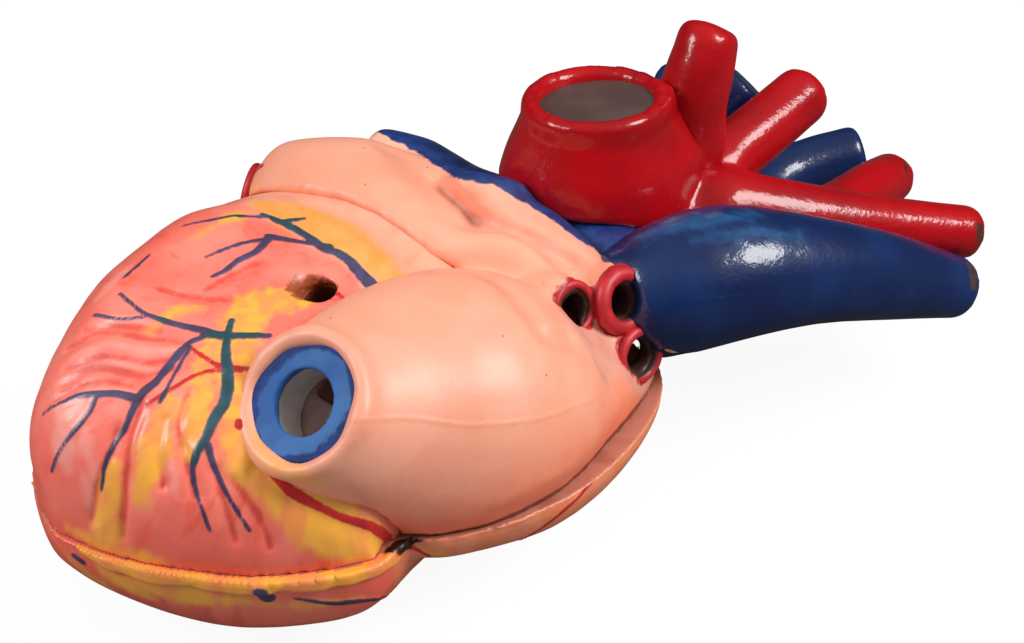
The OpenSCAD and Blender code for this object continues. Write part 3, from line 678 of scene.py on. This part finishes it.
# %% Paint the back wall
# The real wall is moulded PVC. Its salmon paint was brushed along the muscle, which leaves streaks and soft
# borders, and its lacquer is thin, so the highlights are broken and soft.
MUSCLE_COATS = [
    # Deeper red along the wrinkles: painted shade in their creases, partly a darker paint
    layer("deep", "#D93F30", "#CC3526", 0.6, 0.7, 1.8, 0.8),
    layer("fat", "#F6AE3A", "#F5964A", 1.6, 2.2, 3.0, 0.95)]
VESSEL_COATS = [
    layer("arteries", "#CE1F24", "#B5161C", 0.25, 0.25, 1.2),
    layer("veins", "#1F3052", "#2B3F68", 0.25, 0.2, 1.3, 0.95)]
# Near-black in the hollow where the halves and the atria meet: painted shadow
JUNCTION_SHADOW_COAT = layer("hollow", "#2A0F08", soft=0.4, ragged=0.5)
INSIDE_COAT = layer("inside", "#B9695C", "#A9584D", 0.4, 0.1, 3)
VIEW_COAT = layer("view", "#B5A199", "#A9958D", 3.0, 0.3, 3, 0.65)
muscle_paint = painted_pvc("ventricle_paint", "#F7705F", "#F98573", [
    # Deeper red towards the bottom: painted shade, partly a deeper paint
    layer("low", "#E24E38", "#DA4632", 7, 1.5, 4, 0.6),
    # Painted sheen, partly a paler paint
    layer("pale_paint_and_sheen", "#FA988A", "#FBA195", 1.2, 1.4, 2.5, 0.75),
    *MUSCLE_COATS,
    layer("foot", "#F2A386", "#EF9A7C", 1.6, 1.0, 3),
    layer("foot_blush", "#F2993A", "#F3A450", 2.4, 1.6, 4, 0.9),
    *VESSEL_COATS, layer("fat_veins", "#1C454C", "#22525A", 0.3, 0.25, 1.3, 0.9),
    layer("socket_stain", "#9A4E20", "#7C3A18", 0.4, 1.0, 1.6, 0.9), INSIDE_COAT, VIEW_COAT,
    JUNCTION_SHADOW_COAT, layer("cut_face", "#E8806A", "#DC7460", 0.1, 0.05, 2)],
    fibres=True, streak_shade="#F05E4A", roughness=0.45, lacquer=0.3, satin=0.22, bristles=0.1)
finish_piece(back_walls, "back_half", "rear_ventricles", muscle_paint)

# %% [markdown]
# ## The front wall
# Its rim stands proud as a wavy ledge of thick yellow paint below the ventricles, and as a bare speckled
# edge beside the right atrium, painted a darker pink as painted shade for the gap under the dome.

# %% Vessels and fat on the front wall
COVER_VEINS = [([(75, 556), (82, 561)], (1.8, 2.0)), ([(258, 592), (268, 597)], (2.2, 3.0)),
               ([(295, 598), (331, 603), (356, 601), (387, 598)], (0.5, 1.2, 1.7, 0.4))]
FRONT_VEINS = [
    ([(2, 30, 14), (-14, 29, 5), (-34, 20, 1.5), (-54, 8, 3), (-72, -6, 13)], (2.2, 1.8, 1.2, 0.5)),
    ([(-14, 29, 5), (-26, 38, 11), (-36, 41, 20)], (1.4, 0.5)),
    ([(-34, 20, 1.5), (-48, 24, 7), (-58, 22, 18)], (1.2, 0.5)),
    ([(-30, -38, 8), (-46, -30, 7), (-60, -22, 10)], (0.4, 1.2, 0.4))]
FRONT_ARTERIES = [
    ([(3, 33, 15), (-14, 32, 6), (-34, 23, 2), (-54, 11, 4), (-70, -2, 13)], (2.0, 1.6, 1.1, 0.5)),
    ([(-22, 29, 3), (-36, 33, 9), (-46, 33, 19)], (1.1, 0.4)),
    ([(6, -22, 3), (-8, -32, 4), (-20, -42, 10), (-26, -46, 18)], (1.8, 1.4, 0.5))]
FRONT_FAT = [
    ([(2, 31, 14), (-14, 30, 5), (-34, 21, 1.5), (-54, 9, 3), (-70, -4, 12)], (7, 6, 4, 2)),
    ([(6, -20, 3), (-8, -30, 4), (-20, -40, 10), (-26, -44, 18)], (7, 6, 2))]
COVER_FAT = [
    ([(64, 552), (84, 572), (108, 588)], (1.5, 4.5, 1.5)),
    ([(96, 562), (122, 582), (150, 598)], (2, 6, 1.5)),
    ([(118, 570), (165, 590), (225, 600)], (3, 6, 2)),
    ([(425, 552), (450, 556), (485, 556)], (3, 4, 2)),
    ([(230, 600), (300, 606), (360, 598)], (0.8, 1.8, 0.8))]
COVER_RED = [([(508, 547), (545, 525), (575, 500), (592, 480)], (0.5, 1.2, 0.5)),
             ([(390, 552), (408, 546), (430, 556)], (1.0, 1.6, 0.8))]
ATRIAL_COVER_OUTLINE = [(402, 556), (430, 533), (500, 512), (552, 476), (592, 428), (620, 360), (690, 350),
                        (690, 460), (560, 600), (450, 620), (405, 600)]
RIM_Z = 27.8 * MM
LEDGE_DROP = 2.6 * MM
LEDGE_PROUD = 0.9 * MM
THIN_VEIN_RAISED, THIN_ARTERY_RAISED = 0.25 * MM, 0.3 * MM
# The ledge's wave: its crests round the fan, their start in radians and their height in mm
LEDGE_WAVES = [(19, 0, 0.5), (31, 1, 0.35), (53, 2, 0.2)]
# A face of the rim is bare if the back half covers it within this height
COVERED_WITHIN = 1.5 * MM

# %% Shape the front wall
spots = places(front_shell)
walls = smoothstep(0.5 * MM, -0.5 * MM, inside_chambers(spots))
on_rim = smoothstep(4 * MM, 0, RIM_Z - spots[:, 2]) * walls
raise_ridges(front_shell, walls * (1 - on_rim) * off_parting(spots, 0.5 * MM, 5 * MM)
             * smoothstep(0.3 * MM, 4 * MM, spots[:, 2]) * 0.8)
cover_side = inside_outline(spots, normals(front_shell) @ BACK, ATRIAL_COVER_OUTLINE, -1.1)
angle = fan_of(spots)[0]
wave = sum(height * np.sin(crests * angle + start) for crests, start, height in LEDGE_WAVES)
from_left = smoothstep(62, 112, pixels_of(spots)[:, 0])
ledge = np.where(cover_side < 0, spots[:, 2] - (RIM_Z - LEDGE_DROP), FAR_OFF)
ledge = ledge + (wave * 0.5 - 3 * (1 - from_left)) * MM
flat_top = smoothstep(0.6, 0.9, normals(front_shell)[:, 2]) * (spots[:, 2] > 27 * MM)
bare = np.zeros(len(spots), dtype=bool)
for i in np.flatnonzero(flat_top > 0.4):
    bare[i] = rear_tree.ray_cast(Vector(spots[i]), Vector((0, 0, 1)), COVERED_WITHIN)[0] is not None
ledge = np.where(bare, FAR_OFF, ledge)
bare |= (flat_top > 0.5) & (cover_side > 0)
push(front_shell,
     LEDGE_PROUD * smoothstep(-0.7 * MM, 0.4 * MM, ledge) * (1 - flat_top) * walls * (1 + 0.2 * wave))
front_tree = tree_of(front_shell)
vein_distance = strokes(front_shell, front_tree, COVER_VEINS, FRONT_VEINS)
artery_distance = strokes(front_shell, front_tree, COVER_RED, FRONT_ARTERIES)
above_table = smoothstep(0.2 * MM, 1.5 * MM, places(front_shell)[:, 2])
push(front_shell, above_table * (THIN_VEIN_RAISED * smoothstep(-0.3 * MM, 0.5 * MM, vein_distance)
                                 + THIN_ARTERY_RAISED * smoothstep(-0.3 * MM, 0.6 * MM, artery_distance)))

# %% Paint the front wall
spots = places(front_shell)
store(front_shell, "veins", vein_distance)
store(front_shell, "arteries", artery_distance)
store(front_shell, "fat", strokes(front_shell, front_tree, COVER_FAT, FRONT_FAT))
store(front_shell, "deep", np.full(len(spots), FAR_OFF))
store(front_shell, "ledge", ledge)
store(front_shell, "cover", cover_side)
store(front_shell, "inside", inside_chambers(spots))
store(front_shell, "cut_face", np.where(bare, 0.5 * MM, -0.5 * MM))
store(front_shell, "view", through_sleeve(spots))
store(front_shell, "hollow", inside_stroke(spots, on_surface(front_tree, JUNCTION_HOLLOW), (2.2, 4.0, 2.6)))
store_fan(front_shell)
# The bare rim's colour is darker than the back half's cut face: painted shade for the gap under the dome
front_paint = painted_pvc("front_paint", "#F2664F", "#F4745C", [
    layer("cover", "#F48E66", "#F08658", 3.0, 2.0, 4), *MUSCLE_COATS,
    layer("ledge", "#F4A436", "#F28E48", 0.5, 0.8, 3), *VESSEL_COATS, INSIDE_COAT, VIEW_COAT,
    JUNCTION_SHADOW_COAT, layer("cut_face", "#C47660", "#B2644E", 0.25, 0.1, 1.2)],
    fibres=True, streak_shade="#E45C4A", roughness=0.45, lacquer=0.3, satin=0.25, bristles=0.09)
finish_piece(front_shell, "front_half", "front_wall", front_paint)

# %% [markdown]
# ## The atria
# Peach and smooth, under a thin satin lacquer. The moulding's creases separate the lobes; a thick lip goes
# round the lower vena cava's mouth; the lung veins' stubs end in rings of red paint. The upper edge is
# painted blue, as part of the pulmonary artery.

# %% Stubs, creases and paint of the atria
# Each stub: a point inside it and its tip, its ring's radius and thickness, and its mouth's radius,
# all in mm
VEIN_STUBS = [((21.8, -12.5, 48), (25.3, -20.1, 51.7), 4.6, 0.9, 3.9),
              ((32.8, -12.5, 46.6), (36, -18.5, 49.5), 5.2, 1.7, 3.9),
              ((34.4, -16.5, 36.6), (37.9, -23.4, 38.8), 5.1, 1.2, 4.4),
              ((-14, 42, 45), (-20, 46, 46), 4.8, 1.0, 4.2),
              ((-1, 46, 38), (-3, 54, 37.5), 4.8, 1.0, 4.2)]
# The peach lip round the sleeve's mouth: its height along the sleeve, its ring's radius and its thickness
LIP_HEIGHT, LIP_RADIUS, LIP_THICK = 0.5 * MM, 12.8 * MM, 2.1 * MM
# The dome draws back from the cover's edge on the right
GAP_DEPTH = 2.4 * MM
# Below the first height the atria's paint turns orange, as painted shade and partly a deeper paint; near the
# second, their join with the cover is darkened as a painted shadow
ATRIUM_ORANGE_AND_SHADE_Z, JOIN_Z = 37 * MM, 29 * MM
# Creases are sunk and folds raised: a route, a width and a height in mm
ATRIAL_CREASES = [
    ([(400, 255), (450, 240), (510, 250), (550, 285)], 15, 1.6),
    ([(470, 192), (530, 205), (590, 240), (640, 285)], 13, 1.0),
    ([(300, 190), (350, 195), (400, 210)], 24, 1.6),
    ([(400, 148), (425, 171), (447, 193), (470, 219)], 16, -1.8),
    ([(462, 184), (500, 190), (535, 199), (572, 216), (600, 236), (625, 262)], 12, 2.4),
    ([(466, 216), (501, 225), (532, 238), (562, 256), (590, 274)], 7, -1.8),
    ([(535, 250), (548, 256), (560, 267), (583, 285)], 3.5, -0.5),
    ([(290, 325), (350, 290), (381, 276), (441, 271), (478, 273), (505, 287), (528, 310), (547, 335),
      (570, 339)], 7, -1.0)]
TOP_HUMP = ([(393, 137), (411, 143), (428, 154)], 12, 3.6)
LOBE_CUTS = [([(414, 160), (432, 177), (450, 196), (471, 220)], 13, -1.6),
             ([(436, 181), (453, 199), (474, 222)], 11, -2.4),
             ([(474, 222), (505, 229), (535, 241)], 8, -1.0)]
FLASH_LINE = ([(355, 420), (410, 418), (470, 425), (540, 418), (595, 398)], 1.0, 0.18)
PULMONARY_BLUE = [(372, 120), (381, 133), (416, 152), (457, 178), (490, 184), (515, 197), (545, 216),
                  (575, 237), (604, 256), (636, 284), (671, 296), (700, 300), (700, 150), (560, 120), (420, 100)]
BLUSH = [([(254, 194), (285, 195), (312, 197)], (3, 3, 1)),
         ([(345, 268), (320, 290), (300, 312)], (5, 4, 3)),
         ([(256, 432), (268, 455), (290, 473), (322, 482)], (2, 4, 4, 2))]
SALMON_SHADE = [
    ([(442, 190), (455, 204), (469, 221)], (0.8, 2.6, 2)),
    ([(478, 226), (520, 232), (560, 252), (590, 272)], (0.8, 2.0, 1.2)),
    ([(300, 325), (350, 292), (381, 278), (441, 273), (478, 276), (510, 295)], (1, 2.0, 1.0)),
    ([(545, 258), (565, 275), (585, 290)], (0.8, 1.6, 1)),
    ([(350, 485), (390, 530), (420, 540)], (1, 2, 2))]
LEFT_VEIN_RED = [([(262, 166), (250, 175), (242, 195), (243, 209)], (1.0, 1.6, 1.2))]


# %% Rings and the lip
def add_ring(piece, centre, axis, radius, thick, uneven=0.0, steps=48, sides=14):
    """Adds a rounded ring to a skin's mesh, its thickness uneven by a share."""
    turn = Vector(axis).to_track_quat("Z", "Y").to_matrix()
    mesh = bmesh.new()
    mesh.from_mesh(piece.data)
    rows = []
    for i in range(steps):
        a = 2 * math.pi * i / steps
        rows.append([])
        here = thick * (1 + uneven * (math.sin(3 * a + 1) + 0.6 * math.sin(7 * a)))
        for k in range(sides):
            b = 2 * math.pi * k / sides
            reach = radius + here * math.cos(b)
            place = turn @ Vector((reach * math.cos(a), reach * math.sin(a), here * math.sin(b)))
            rows[-1].append(mesh.verts.new(place + Vector(centre)))
    for i in range(steps):
        for k in range(sides):
            face = mesh.faces.new((rows[i][k], rows[(i + 1) % steps][k],
                                   rows[(i + 1) % steps][(k + 1) % sides],
                                   rows[i][(k + 1) % sides]))
            face.smooth = True
    mesh.to_mesh(piece.data)
    mesh.free()


def add_lip(piece):
    """Adds the lip, for the remesh to merge with the moulding."""
    add_ring(piece, SLEEVE_CENTRE + LIP_HEIGHT * SLEEVE_AXIS, SLEEVE_AXIS, LIP_RADIUS, LIP_THICK, 0.14)


# %% Shape the atria
atrial_skin = skin_of("atria", VOXEL, "atrial_skin", add_lip)
spots = places(atrial_skin)
tips = np.min([np.linalg.norm(spots - np.array(stub[1]) * MM, axis=1) for stub in VEIN_STUBS], axis=0)
along, out = along_and_out(spots, SLEEVE_CENTRE, SLEEVE_AXIS)
mouth_edge = smoothstep(0.5 * MM, 3 * MM, np.maximum(np.abs(out - SLEEVE_RADIUS), np.abs(along) - 8 * MM))
smoothed = off_parting(spots) * (0.25 + 0.75 * smoothstep(5 * MM, 9 * MM, tips)) * (0.3 + 0.7 * mouth_edge)
relax(atrial_skin, smoothed)
atrial_tree = tree_of(atrial_skin)
for route, width, height in ATRIAL_CREASES + [TOP_HUMP]:
    press(atrial_skin, on_surface(atrial_tree, route), width, height)
lift(atrial_skin, seam_route, *SEAM_LIFT)
relax(atrial_skin, smoothed, 16)
for route, width, height in LOBE_CUTS:
    lift(atrial_skin, on_surface(tree_of(atrial_skin), route), width, height)
relax(atrial_skin, smoothed, 3)
press(atrial_skin, on_surface(tree_of(atrial_skin), FLASH_LINE[0]), *FLASH_LINE[1:])
for start, tip, ring, thick, mouth in VEIN_STUBS:
    add_ring(atrial_skin, np.array(tip) * MM, np.array(tip) - start, ring * MM, thick * MM)
rims = np.full(len(atrial_skin.data.vertices), FAR_OFF)
# Dark paint in the stubs' mouths, beyond their bores on the wider ones: painted shadow
bore_shadows = rims.copy()
for start, tip, ring, thick, mouth in VEIN_STUBS:
    axis = (np.array(tip) - start) / np.linalg.norm(np.array(tip) - start)
    along, out = along_and_out(places(atrial_skin), np.array(tip) * MM, axis)
    rims = np.maximum(rims, (thick + 0.5) * MM - np.hypot(along, out - ring * MM))
    bore_shadows = np.maximum(bore_shadows,
                       np.where((np.abs(along) < 12 * MM) & (along < 1.5 * MM), mouth * MM - out, FAR_OFF))
spots = places(atrial_skin)
drawn = smoothstep(37 * MM, 29 * MM, spots[:, 2]) * smoothstep(-16 * MM, -25 * MM, spots[:, 1])
drawn *= smoothstep(430, 590, pixels_of(spots)[:, 0])
move_to(atrial_skin, spots - GAP_DEPTH * drawn[:, None] * BACK * (1, 1, 0))

# %% Paint the atria
# The atria are moulded PVC too, but their peach coat is even and shows no streaks. The small brown dots look
# like burst bubbles in the paint.
atrial_tree = tree_of(atrial_skin)
spots = places(atrial_skin)
store(atrial_skin, "hollow", inside_stroke(spots, on_surface(atrial_tree, JUNCTION_HOLLOW), (2.2, 4.0, 2.6)))
store(atrial_skin, "view", through_sleeve(spots))
store(atrial_skin, "rims", rims)
store(atrial_skin, "bore_shadows", bore_shadows)
store(atrial_skin, "blue", inside_outline(spots, normals(atrial_skin) @ BACK, PULMONARY_BLUE, -0.7))
store(atrial_skin, "blush", strokes(atrial_skin, atrial_tree, BLUSH))
store(atrial_skin, "shade", strokes(atrial_skin, atrial_tree, SALMON_SHADE))
store(atrial_skin, "inside", inside_chambers(spots) - 1.2 * MM * (spots[:, 0] > 28 * MM))
store(atrial_skin, "join_shadow", JOIN_Z + 1.6 * MM * drawn - spots[:, 2])
store(atrial_skin, "low", ATRIUM_ORANGE_AND_SHADE_Z - spots[:, 2])
store(atrial_skin, "red_edge", strokes(atrial_skin, atrial_tree, LEFT_VEIN_RED))
peach_paint = painted_pvc("atrial_paint", "#F2A386", "#EF9A7C", [
    # Orange towards the bottom: painted shade, partly a deeper paint
    layer("low", "#FA6C3C", "#F46234", 11, 2, 6, 0.9),
    layer("shade", "#E08A74", "#DC826C", 1.8, 0.6, 4, 0.7),
    layer("blush", "#F3A452", "#F2AC62", 2.8, 1.6, 4, 0.9),
    layer("blue", "#122A62", "#1A3A7A", 0.25, 0.5, 2.5),
    # Dark at the join with the cover: painted shadow of the gap
    layer("join_shadow", "#8C3E2C", "#702A1E", 0.5, 0.4, 2),
    layer("red_edge", "#C92A2E", "#B32026", 0.3, 0.4, 1.5),
    layer("inside", "#E09A84", "#D88E78", 0.5, 0.1, 3), VIEW_COAT,
    layer("rims", "#C01A24", "#A9131D", 0.25, 0.5, 1.6),
    # Painted shadow in the stubs' mouths
    layer("bore_shadows", "#4A2A22", "#38201A", 0.4, 0.2, 1.5),
    JUNCTION_SHADOW_COAT],
    pinholes=True, roughness=0.5, lacquer=0.22, satin=0.36, bristles=0.06)
finish_piece(atrial_skin, "back_half", "atria", peach_paint)

# %% Lower vena cava
# How far the rim leans in over the bore
MOUTH_LIP = 1.3 * MM
SLEEVE_VOXEL = 0.4 * MM
# The white inside begins this far down the bore
WHITE_BELOW = 3.2 * MM

sleeve_skin = skin_of("inferior_vena_cava", SLEEVE_VOXEL, "lower_vena_cava")
along, out = along_and_out(places(sleeve_skin), SLEEVE_CENTRE, SLEEVE_AXIS)
top = along.max()
bore = out < out.min() + 0.7 * MM
spots = places(sleeve_skin)
spoke = spots - SLEEVE_CENTRE - along[:, None] * SLEEVE_AXIS
inward = MOUTH_LIP * smoothstep(top - 5 * MM, top - 0.5 * MM, along) * smoothstep(10.5 * MM, 8.5 * MM, out)
move_to(sleeve_skin, spots - spoke / out[:, None] * inward[:, None])
across = np.abs(spoke @ (RIGHT - UP)) / (math.sqrt(2) * out)
store(sleeve_skin, "rim", np.where(along > top - 1.2 * MM, out - (10.9 - 1.5 * across) * MM, FAR_OFF))
store(sleeve_skin, "deep", np.where(bore, (top - WHITE_BELOW) - along, FAR_OFF))
# A blue paint without lacquer, so the sleeve looks dull beside the vessels
sleeve_paint = painted_pvc("sleeve_paint", "#2E5C9C", "#4374B0", [
    layer("deep", "#DAD2CC", "#CFC6BF", 0.3, 1.1, 3), layer("rim", "#16306A", "#1B3C80", 0.25, 0.8, 4)],
    roughness=0.6, lacquer=0.0, gleam=0.2)
finish_piece(sleeve_skin, "back_half", "inferior_vena_cava", sleeve_paint)

# %% [markdown]
# ## The great vessels
# Deep red and navy under thick lacquer, with the brush's strokes showing in their highlights.

# %% Aorta and its arteries
STUB_AXIS = np.array([45.6, 20.5]) * MM
STUB_FLARE = 0.2
# A rim of paint round the disc in the cut end: its height and its half width
DISC_RIM, DISC_RIM_REACH = 1.5 * MM, 2.5 * MM
RED_SWELLS = [
    ([(704, 36), (700, 70), (694, 110), (690, 150)], 22, 2.2),
    ([(724, 150), (770, 115), (804, 88)], 24, 1.8),
    ([(735, 182), (800, 193), (870, 206), (920, 215), (966, 224)], 22, 1.5)]
RED_ENDS = [([(979, 228), (982, 240)], (2.6, 2.6)), ([(903, 150), (906, 172)], (0.6, 0.6))]

red_skin = skin_of("aorta", VOXEL, "arterial_tree")
relax(red_skin, np.ones(len(red_skin.data.vertices)), 30)
spots = places(red_skin)
off_axis = spots[:, :2] - STUB_AXIS
foot = smoothstep(70 * MM, 44 * MM, spots[:, 2]) * smoothstep(34 * MM, 42 * MM, spots[:, 2])
foot *= smoothstep(36 * MM, 16 * MM, np.linalg.norm(off_axis, axis=1))
spots[:, :2] += STUB_FLARE * foot[:, None] * off_axis
move_to(red_skin, spots)
disc = places(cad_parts["aorta_end_disc"])
disc_centre = disc.mean(0)
disc_radius = np.linalg.norm(disc - disc_centre, axis=1).max()
from_rim = np.abs(np.linalg.norm(spots - disc_centre, axis=1) - disc_radius - 0.6 * MM)
push(red_skin, DISC_RIM * bead(DISC_RIM_REACH - from_rim, 2 * DISC_RIM_REACH))
red_tree = tree_of(red_skin)
for route, width, height in RED_SWELLS:
    press(red_skin, on_surface(red_tree, route), width, height)
red_tree = tree_of(red_skin)
store(red_skin, "ends", strokes(red_skin, red_tree, RED_ENDS))
red_paint = painted_pvc("artery_paint", "#AC0610", "#96060D",
                        [layer("ends", "#5A2A22", "#40201A", 0.4, 0.6, 1.5)],
                        roughness=0.4, lacquer=0.6, satin=0.1, bristles=0.11, gleam=0.12)
finish_piece(red_skin, "back_half", "aorta", red_paint)

# %% Upper vena cava and its veins
TEAL_STROKES = [([(640, 236), (690, 222), (752, 214)], (3, 6, 2)),
                ([(700, 240), (740, 232), (800, 236)], (1, 3, 1))]
BLUE_ENDS = [([(972, 268), (974, 284)], (3, 2.4))]
SEAM_FLASH = ([(690, 300), (720, 299), (745, 297)], 0.8, 0.2)

blue_skin = skin_of("vena_cava", VOXEL, "venous_tree")
relax(blue_skin, np.ones(len(blue_skin.data.vertices)), 40)
blue_tree = tree_of(blue_skin)
press(blue_skin, on_surface(blue_tree, SEAM_FLASH[0]), *SEAM_FLASH[1:])
store(blue_skin, "teal", strokes(blue_skin, blue_tree, TEAL_STROKES))
store(blue_skin, "ends", strokes(blue_skin, blue_tree, BLUE_ENDS))
blue_paint = painted_pvc("vein_paint", "#0A1F4C", "#0E295A", [
    layer("teal", "#1F5486", "#25608E", 2.0, 2.4, 3, 0.6),
    layer("ends", "#4A3434", "#3A2828", 0.4, 0.8, 1.5)],
    roughness=0.4, lacquer=0.7, satin=0.1, bristles=0.11, gleam=0.25)
finish_piece(blue_skin, "back_half", "vena_cava", blue_paint)

# %% Pulmonary artery
lung_skin = skin_of("pulmonary_artery", VOXEL, "pulmonary_skin")
relax(lung_skin, np.ones(len(lung_skin.data.vertices)))
facing = normals(lung_skin) @ BACK
store(lung_skin, "blue",
      np.where(facing > -0.3, inside_outline(places(lung_skin), facing, PULMONARY_BLUE, -1.1),
                                  -FAR_OFF))
lung_paint = painted_pvc("pulmonary_paint", "#F4B399", "#F1AA8F",
                         [layer("blue", "#122A62", "#1A3A7A", 0.25, 0.5, 2.5)],
                         lacquer=0.9, bristles=0.1)
finish_piece(lung_skin, "back_half", "pulmonary_artery", lung_paint)

# %% Small parts
# The disc is dull PVC, and the socket and the valves are glossy PVC in colours of their own. The papillary
# muscles are painted, the cords are dull nylon, and the magnets and pegs are plated steel with soft
# reflections.
disc_paint = painted_pvc("end_disc_plastic", "#4C3A36", "#57443F", roughness=0.5, lacquer=0.0)
brown_plastic = painted_pvc("socket_plastic", "#6B3418", "#54240F", roughness=0.2)
cream_plastic = painted_pvc("valve_plastic", "#EFD9C4", "#E8CCB4")
papillary_paint = painted_pvc("papillary_paint", "#C24A44", "#B03C38")
cord_plastic = painted_pvc("cord_nylon", "#EEE6D2", "#E6DCC4", roughness=0.5, lacquer=0.0)
steel = painted_pvc("fixing_steel", "#8E8E92", "#9A9A9E", roughness=0.3, lacquer=0.0, bristles=0.01,
                    metallic=1.0)
for node, material in {
        "aorta_end_disc": disc_paint, "stand_socket": brown_plastic,
        "tricuspid_valve": cream_plastic, "mitral_valve": cream_plastic, "aortic_valve": cream_plastic,
        "pulmonary_valve": cream_plastic, "right_papillary_muscles": papillary_paint,
        "left_papillary_muscles": papillary_paint, "tricuspid_cords": cord_plastic,
        "mitral_cords": cord_plastic,
        "front_magnets": steel, "rear_magnets": steel, "locating_pegs": steel}.items():
    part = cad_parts[node]
    part.data.materials.clear()
    part.data.materials.append(material)

# %% [markdown]
# ## Floor and light
# The photograph has a white ground with almost no shadow, so the camera sees the floor mostly as plain
# white. Two softboxes give the lacquer its highlights.

# %% Floor
FLOOR_HALF = 6.0
floor_mesh = bpy.data.meshes.new("floor")
floor_mesh.from_pydata([(-FLOOR_HALF, -FLOOR_HALF, 0), (FLOOR_HALF, -FLOOR_HALF, 0),
                        (FLOOR_HALF, FLOOR_HALF, 0),
                        (-FLOOR_HALF, FLOOR_HALF, 0)], [], [(0, 1, 2, 3)])
floor = bpy.data.objects.new("floor", floor_mesh)
scene.collection.objects.link(floor)
paper = bpy.data.materials.new("white_paper")
paper.use_nodes = True
tree = paper.node_tree
shader = tree.nodes["Principled BSDF"]
direct = add(tree, "ShaderNodeLightPath", output="Is Camera Ray")
mirrored = add(tree, "ShaderNodeLightPath", output="Is Glossy Ray")
white = add(tree, "ShaderNodeMix", {AMOUNT: direct, UNDER: "#A0A0A0", OVER: "#F8F8F8"}, MIXED,
            data_type="RGBA")
white = add(tree, "ShaderNodeMix", {AMOUNT: mirrored, UNDER: white, OVER: "#404040"}, MIXED,
            data_type="RGBA")
tree.links.new(white, shader.inputs["Base Color"])
shader.inputs["Roughness"].default_value = 1.0
shader.inputs["Specular IOR Level"].default_value = 0.0
glow = add(tree, "ShaderNodeEmission", {"Color": (1, 1, 1, 1), "Strength": 1.02})
seen = add(tree, "ShaderNodeMath", {0: direct, 1: 0.92}, operation="MULTIPLY")
mix = add(tree, "ShaderNodeMixShader", {0: seen, 1: shader.outputs[0], 2: glow})
tree.links.new(mix, tree.nodes["Material Output"].inputs["Surface"])
floor_mesh.materials.append(paper)


# %% Light
LAMP_DISTANCE = 1.2


def softbox(name, place, size, power):
    """A rectangular lamp that faces the object."""
    lamp = bpy.data.lights.new(name, "AREA")
    lamp.shape = "RECTANGLE"
    lamp.size, lamp.size_y = size
    lamp.energy = power
    made = bpy.data.objects.new(name, lamp)
    scene.collection.objects.link(made)
    made.location = place
    made.rotation_euler = (Vector(LOOK_AT) - Vector(place)).to_track_quat("-Z", "Y").to_euler()


softbox("key_softbox", LOOK_AT + LAMP_DISTANCE * direction(-30, 43), (0.55, 0.45), 14)
softbox("left_softbox", LOOK_AT + LAMP_DISTANCE * direction(172, 34), (0.4, 0.4), 8)
world = bpy.data.worlds.new("studio")
scene.world = world
world.use_nodes = True
tree = world.node_tree
around = add(tree, "ShaderNodeTexCoord", output="Generated")
upward = add(tree, "ShaderNodeSeparateXYZ", {0: around}, output="Z")
# The sky is brighter overhead, dimmer in reflections, and plain white to the camera
sky = add(tree, "ShaderNodeMapRange", {"Value": upward, "From Min": 0.25, "From Max": 1.0, "To Min": 0.08,
                                       "To Max": 0.75}, **EASED)
mirrored = add(tree, "ShaderNodeLightPath", output="Is Glossy Ray")
dimmed = add(tree, "ShaderNodeMath", {0: mirrored, 1: -0.65, 2: 1.0}, operation="MULTIPLY_ADD")
sky = add(tree, "ShaderNodeMath", {0: sky, 1: dimmed}, operation="MULTIPLY")
direct = add(tree, "ShaderNodeLightPath", output="Is Camera Ray")
strength = add(tree, "ShaderNodeMix", {0: direct, 2: sky, 3: 1.0}, data_type="FLOAT")
tree.links.new(strength, tree.nodes["Background"].inputs["Strength"])
tree.nodes["Background"].inputs["Color"].default_value = (1, 1, 1, 1)
scene.view_settings.view_transform = "Standard"
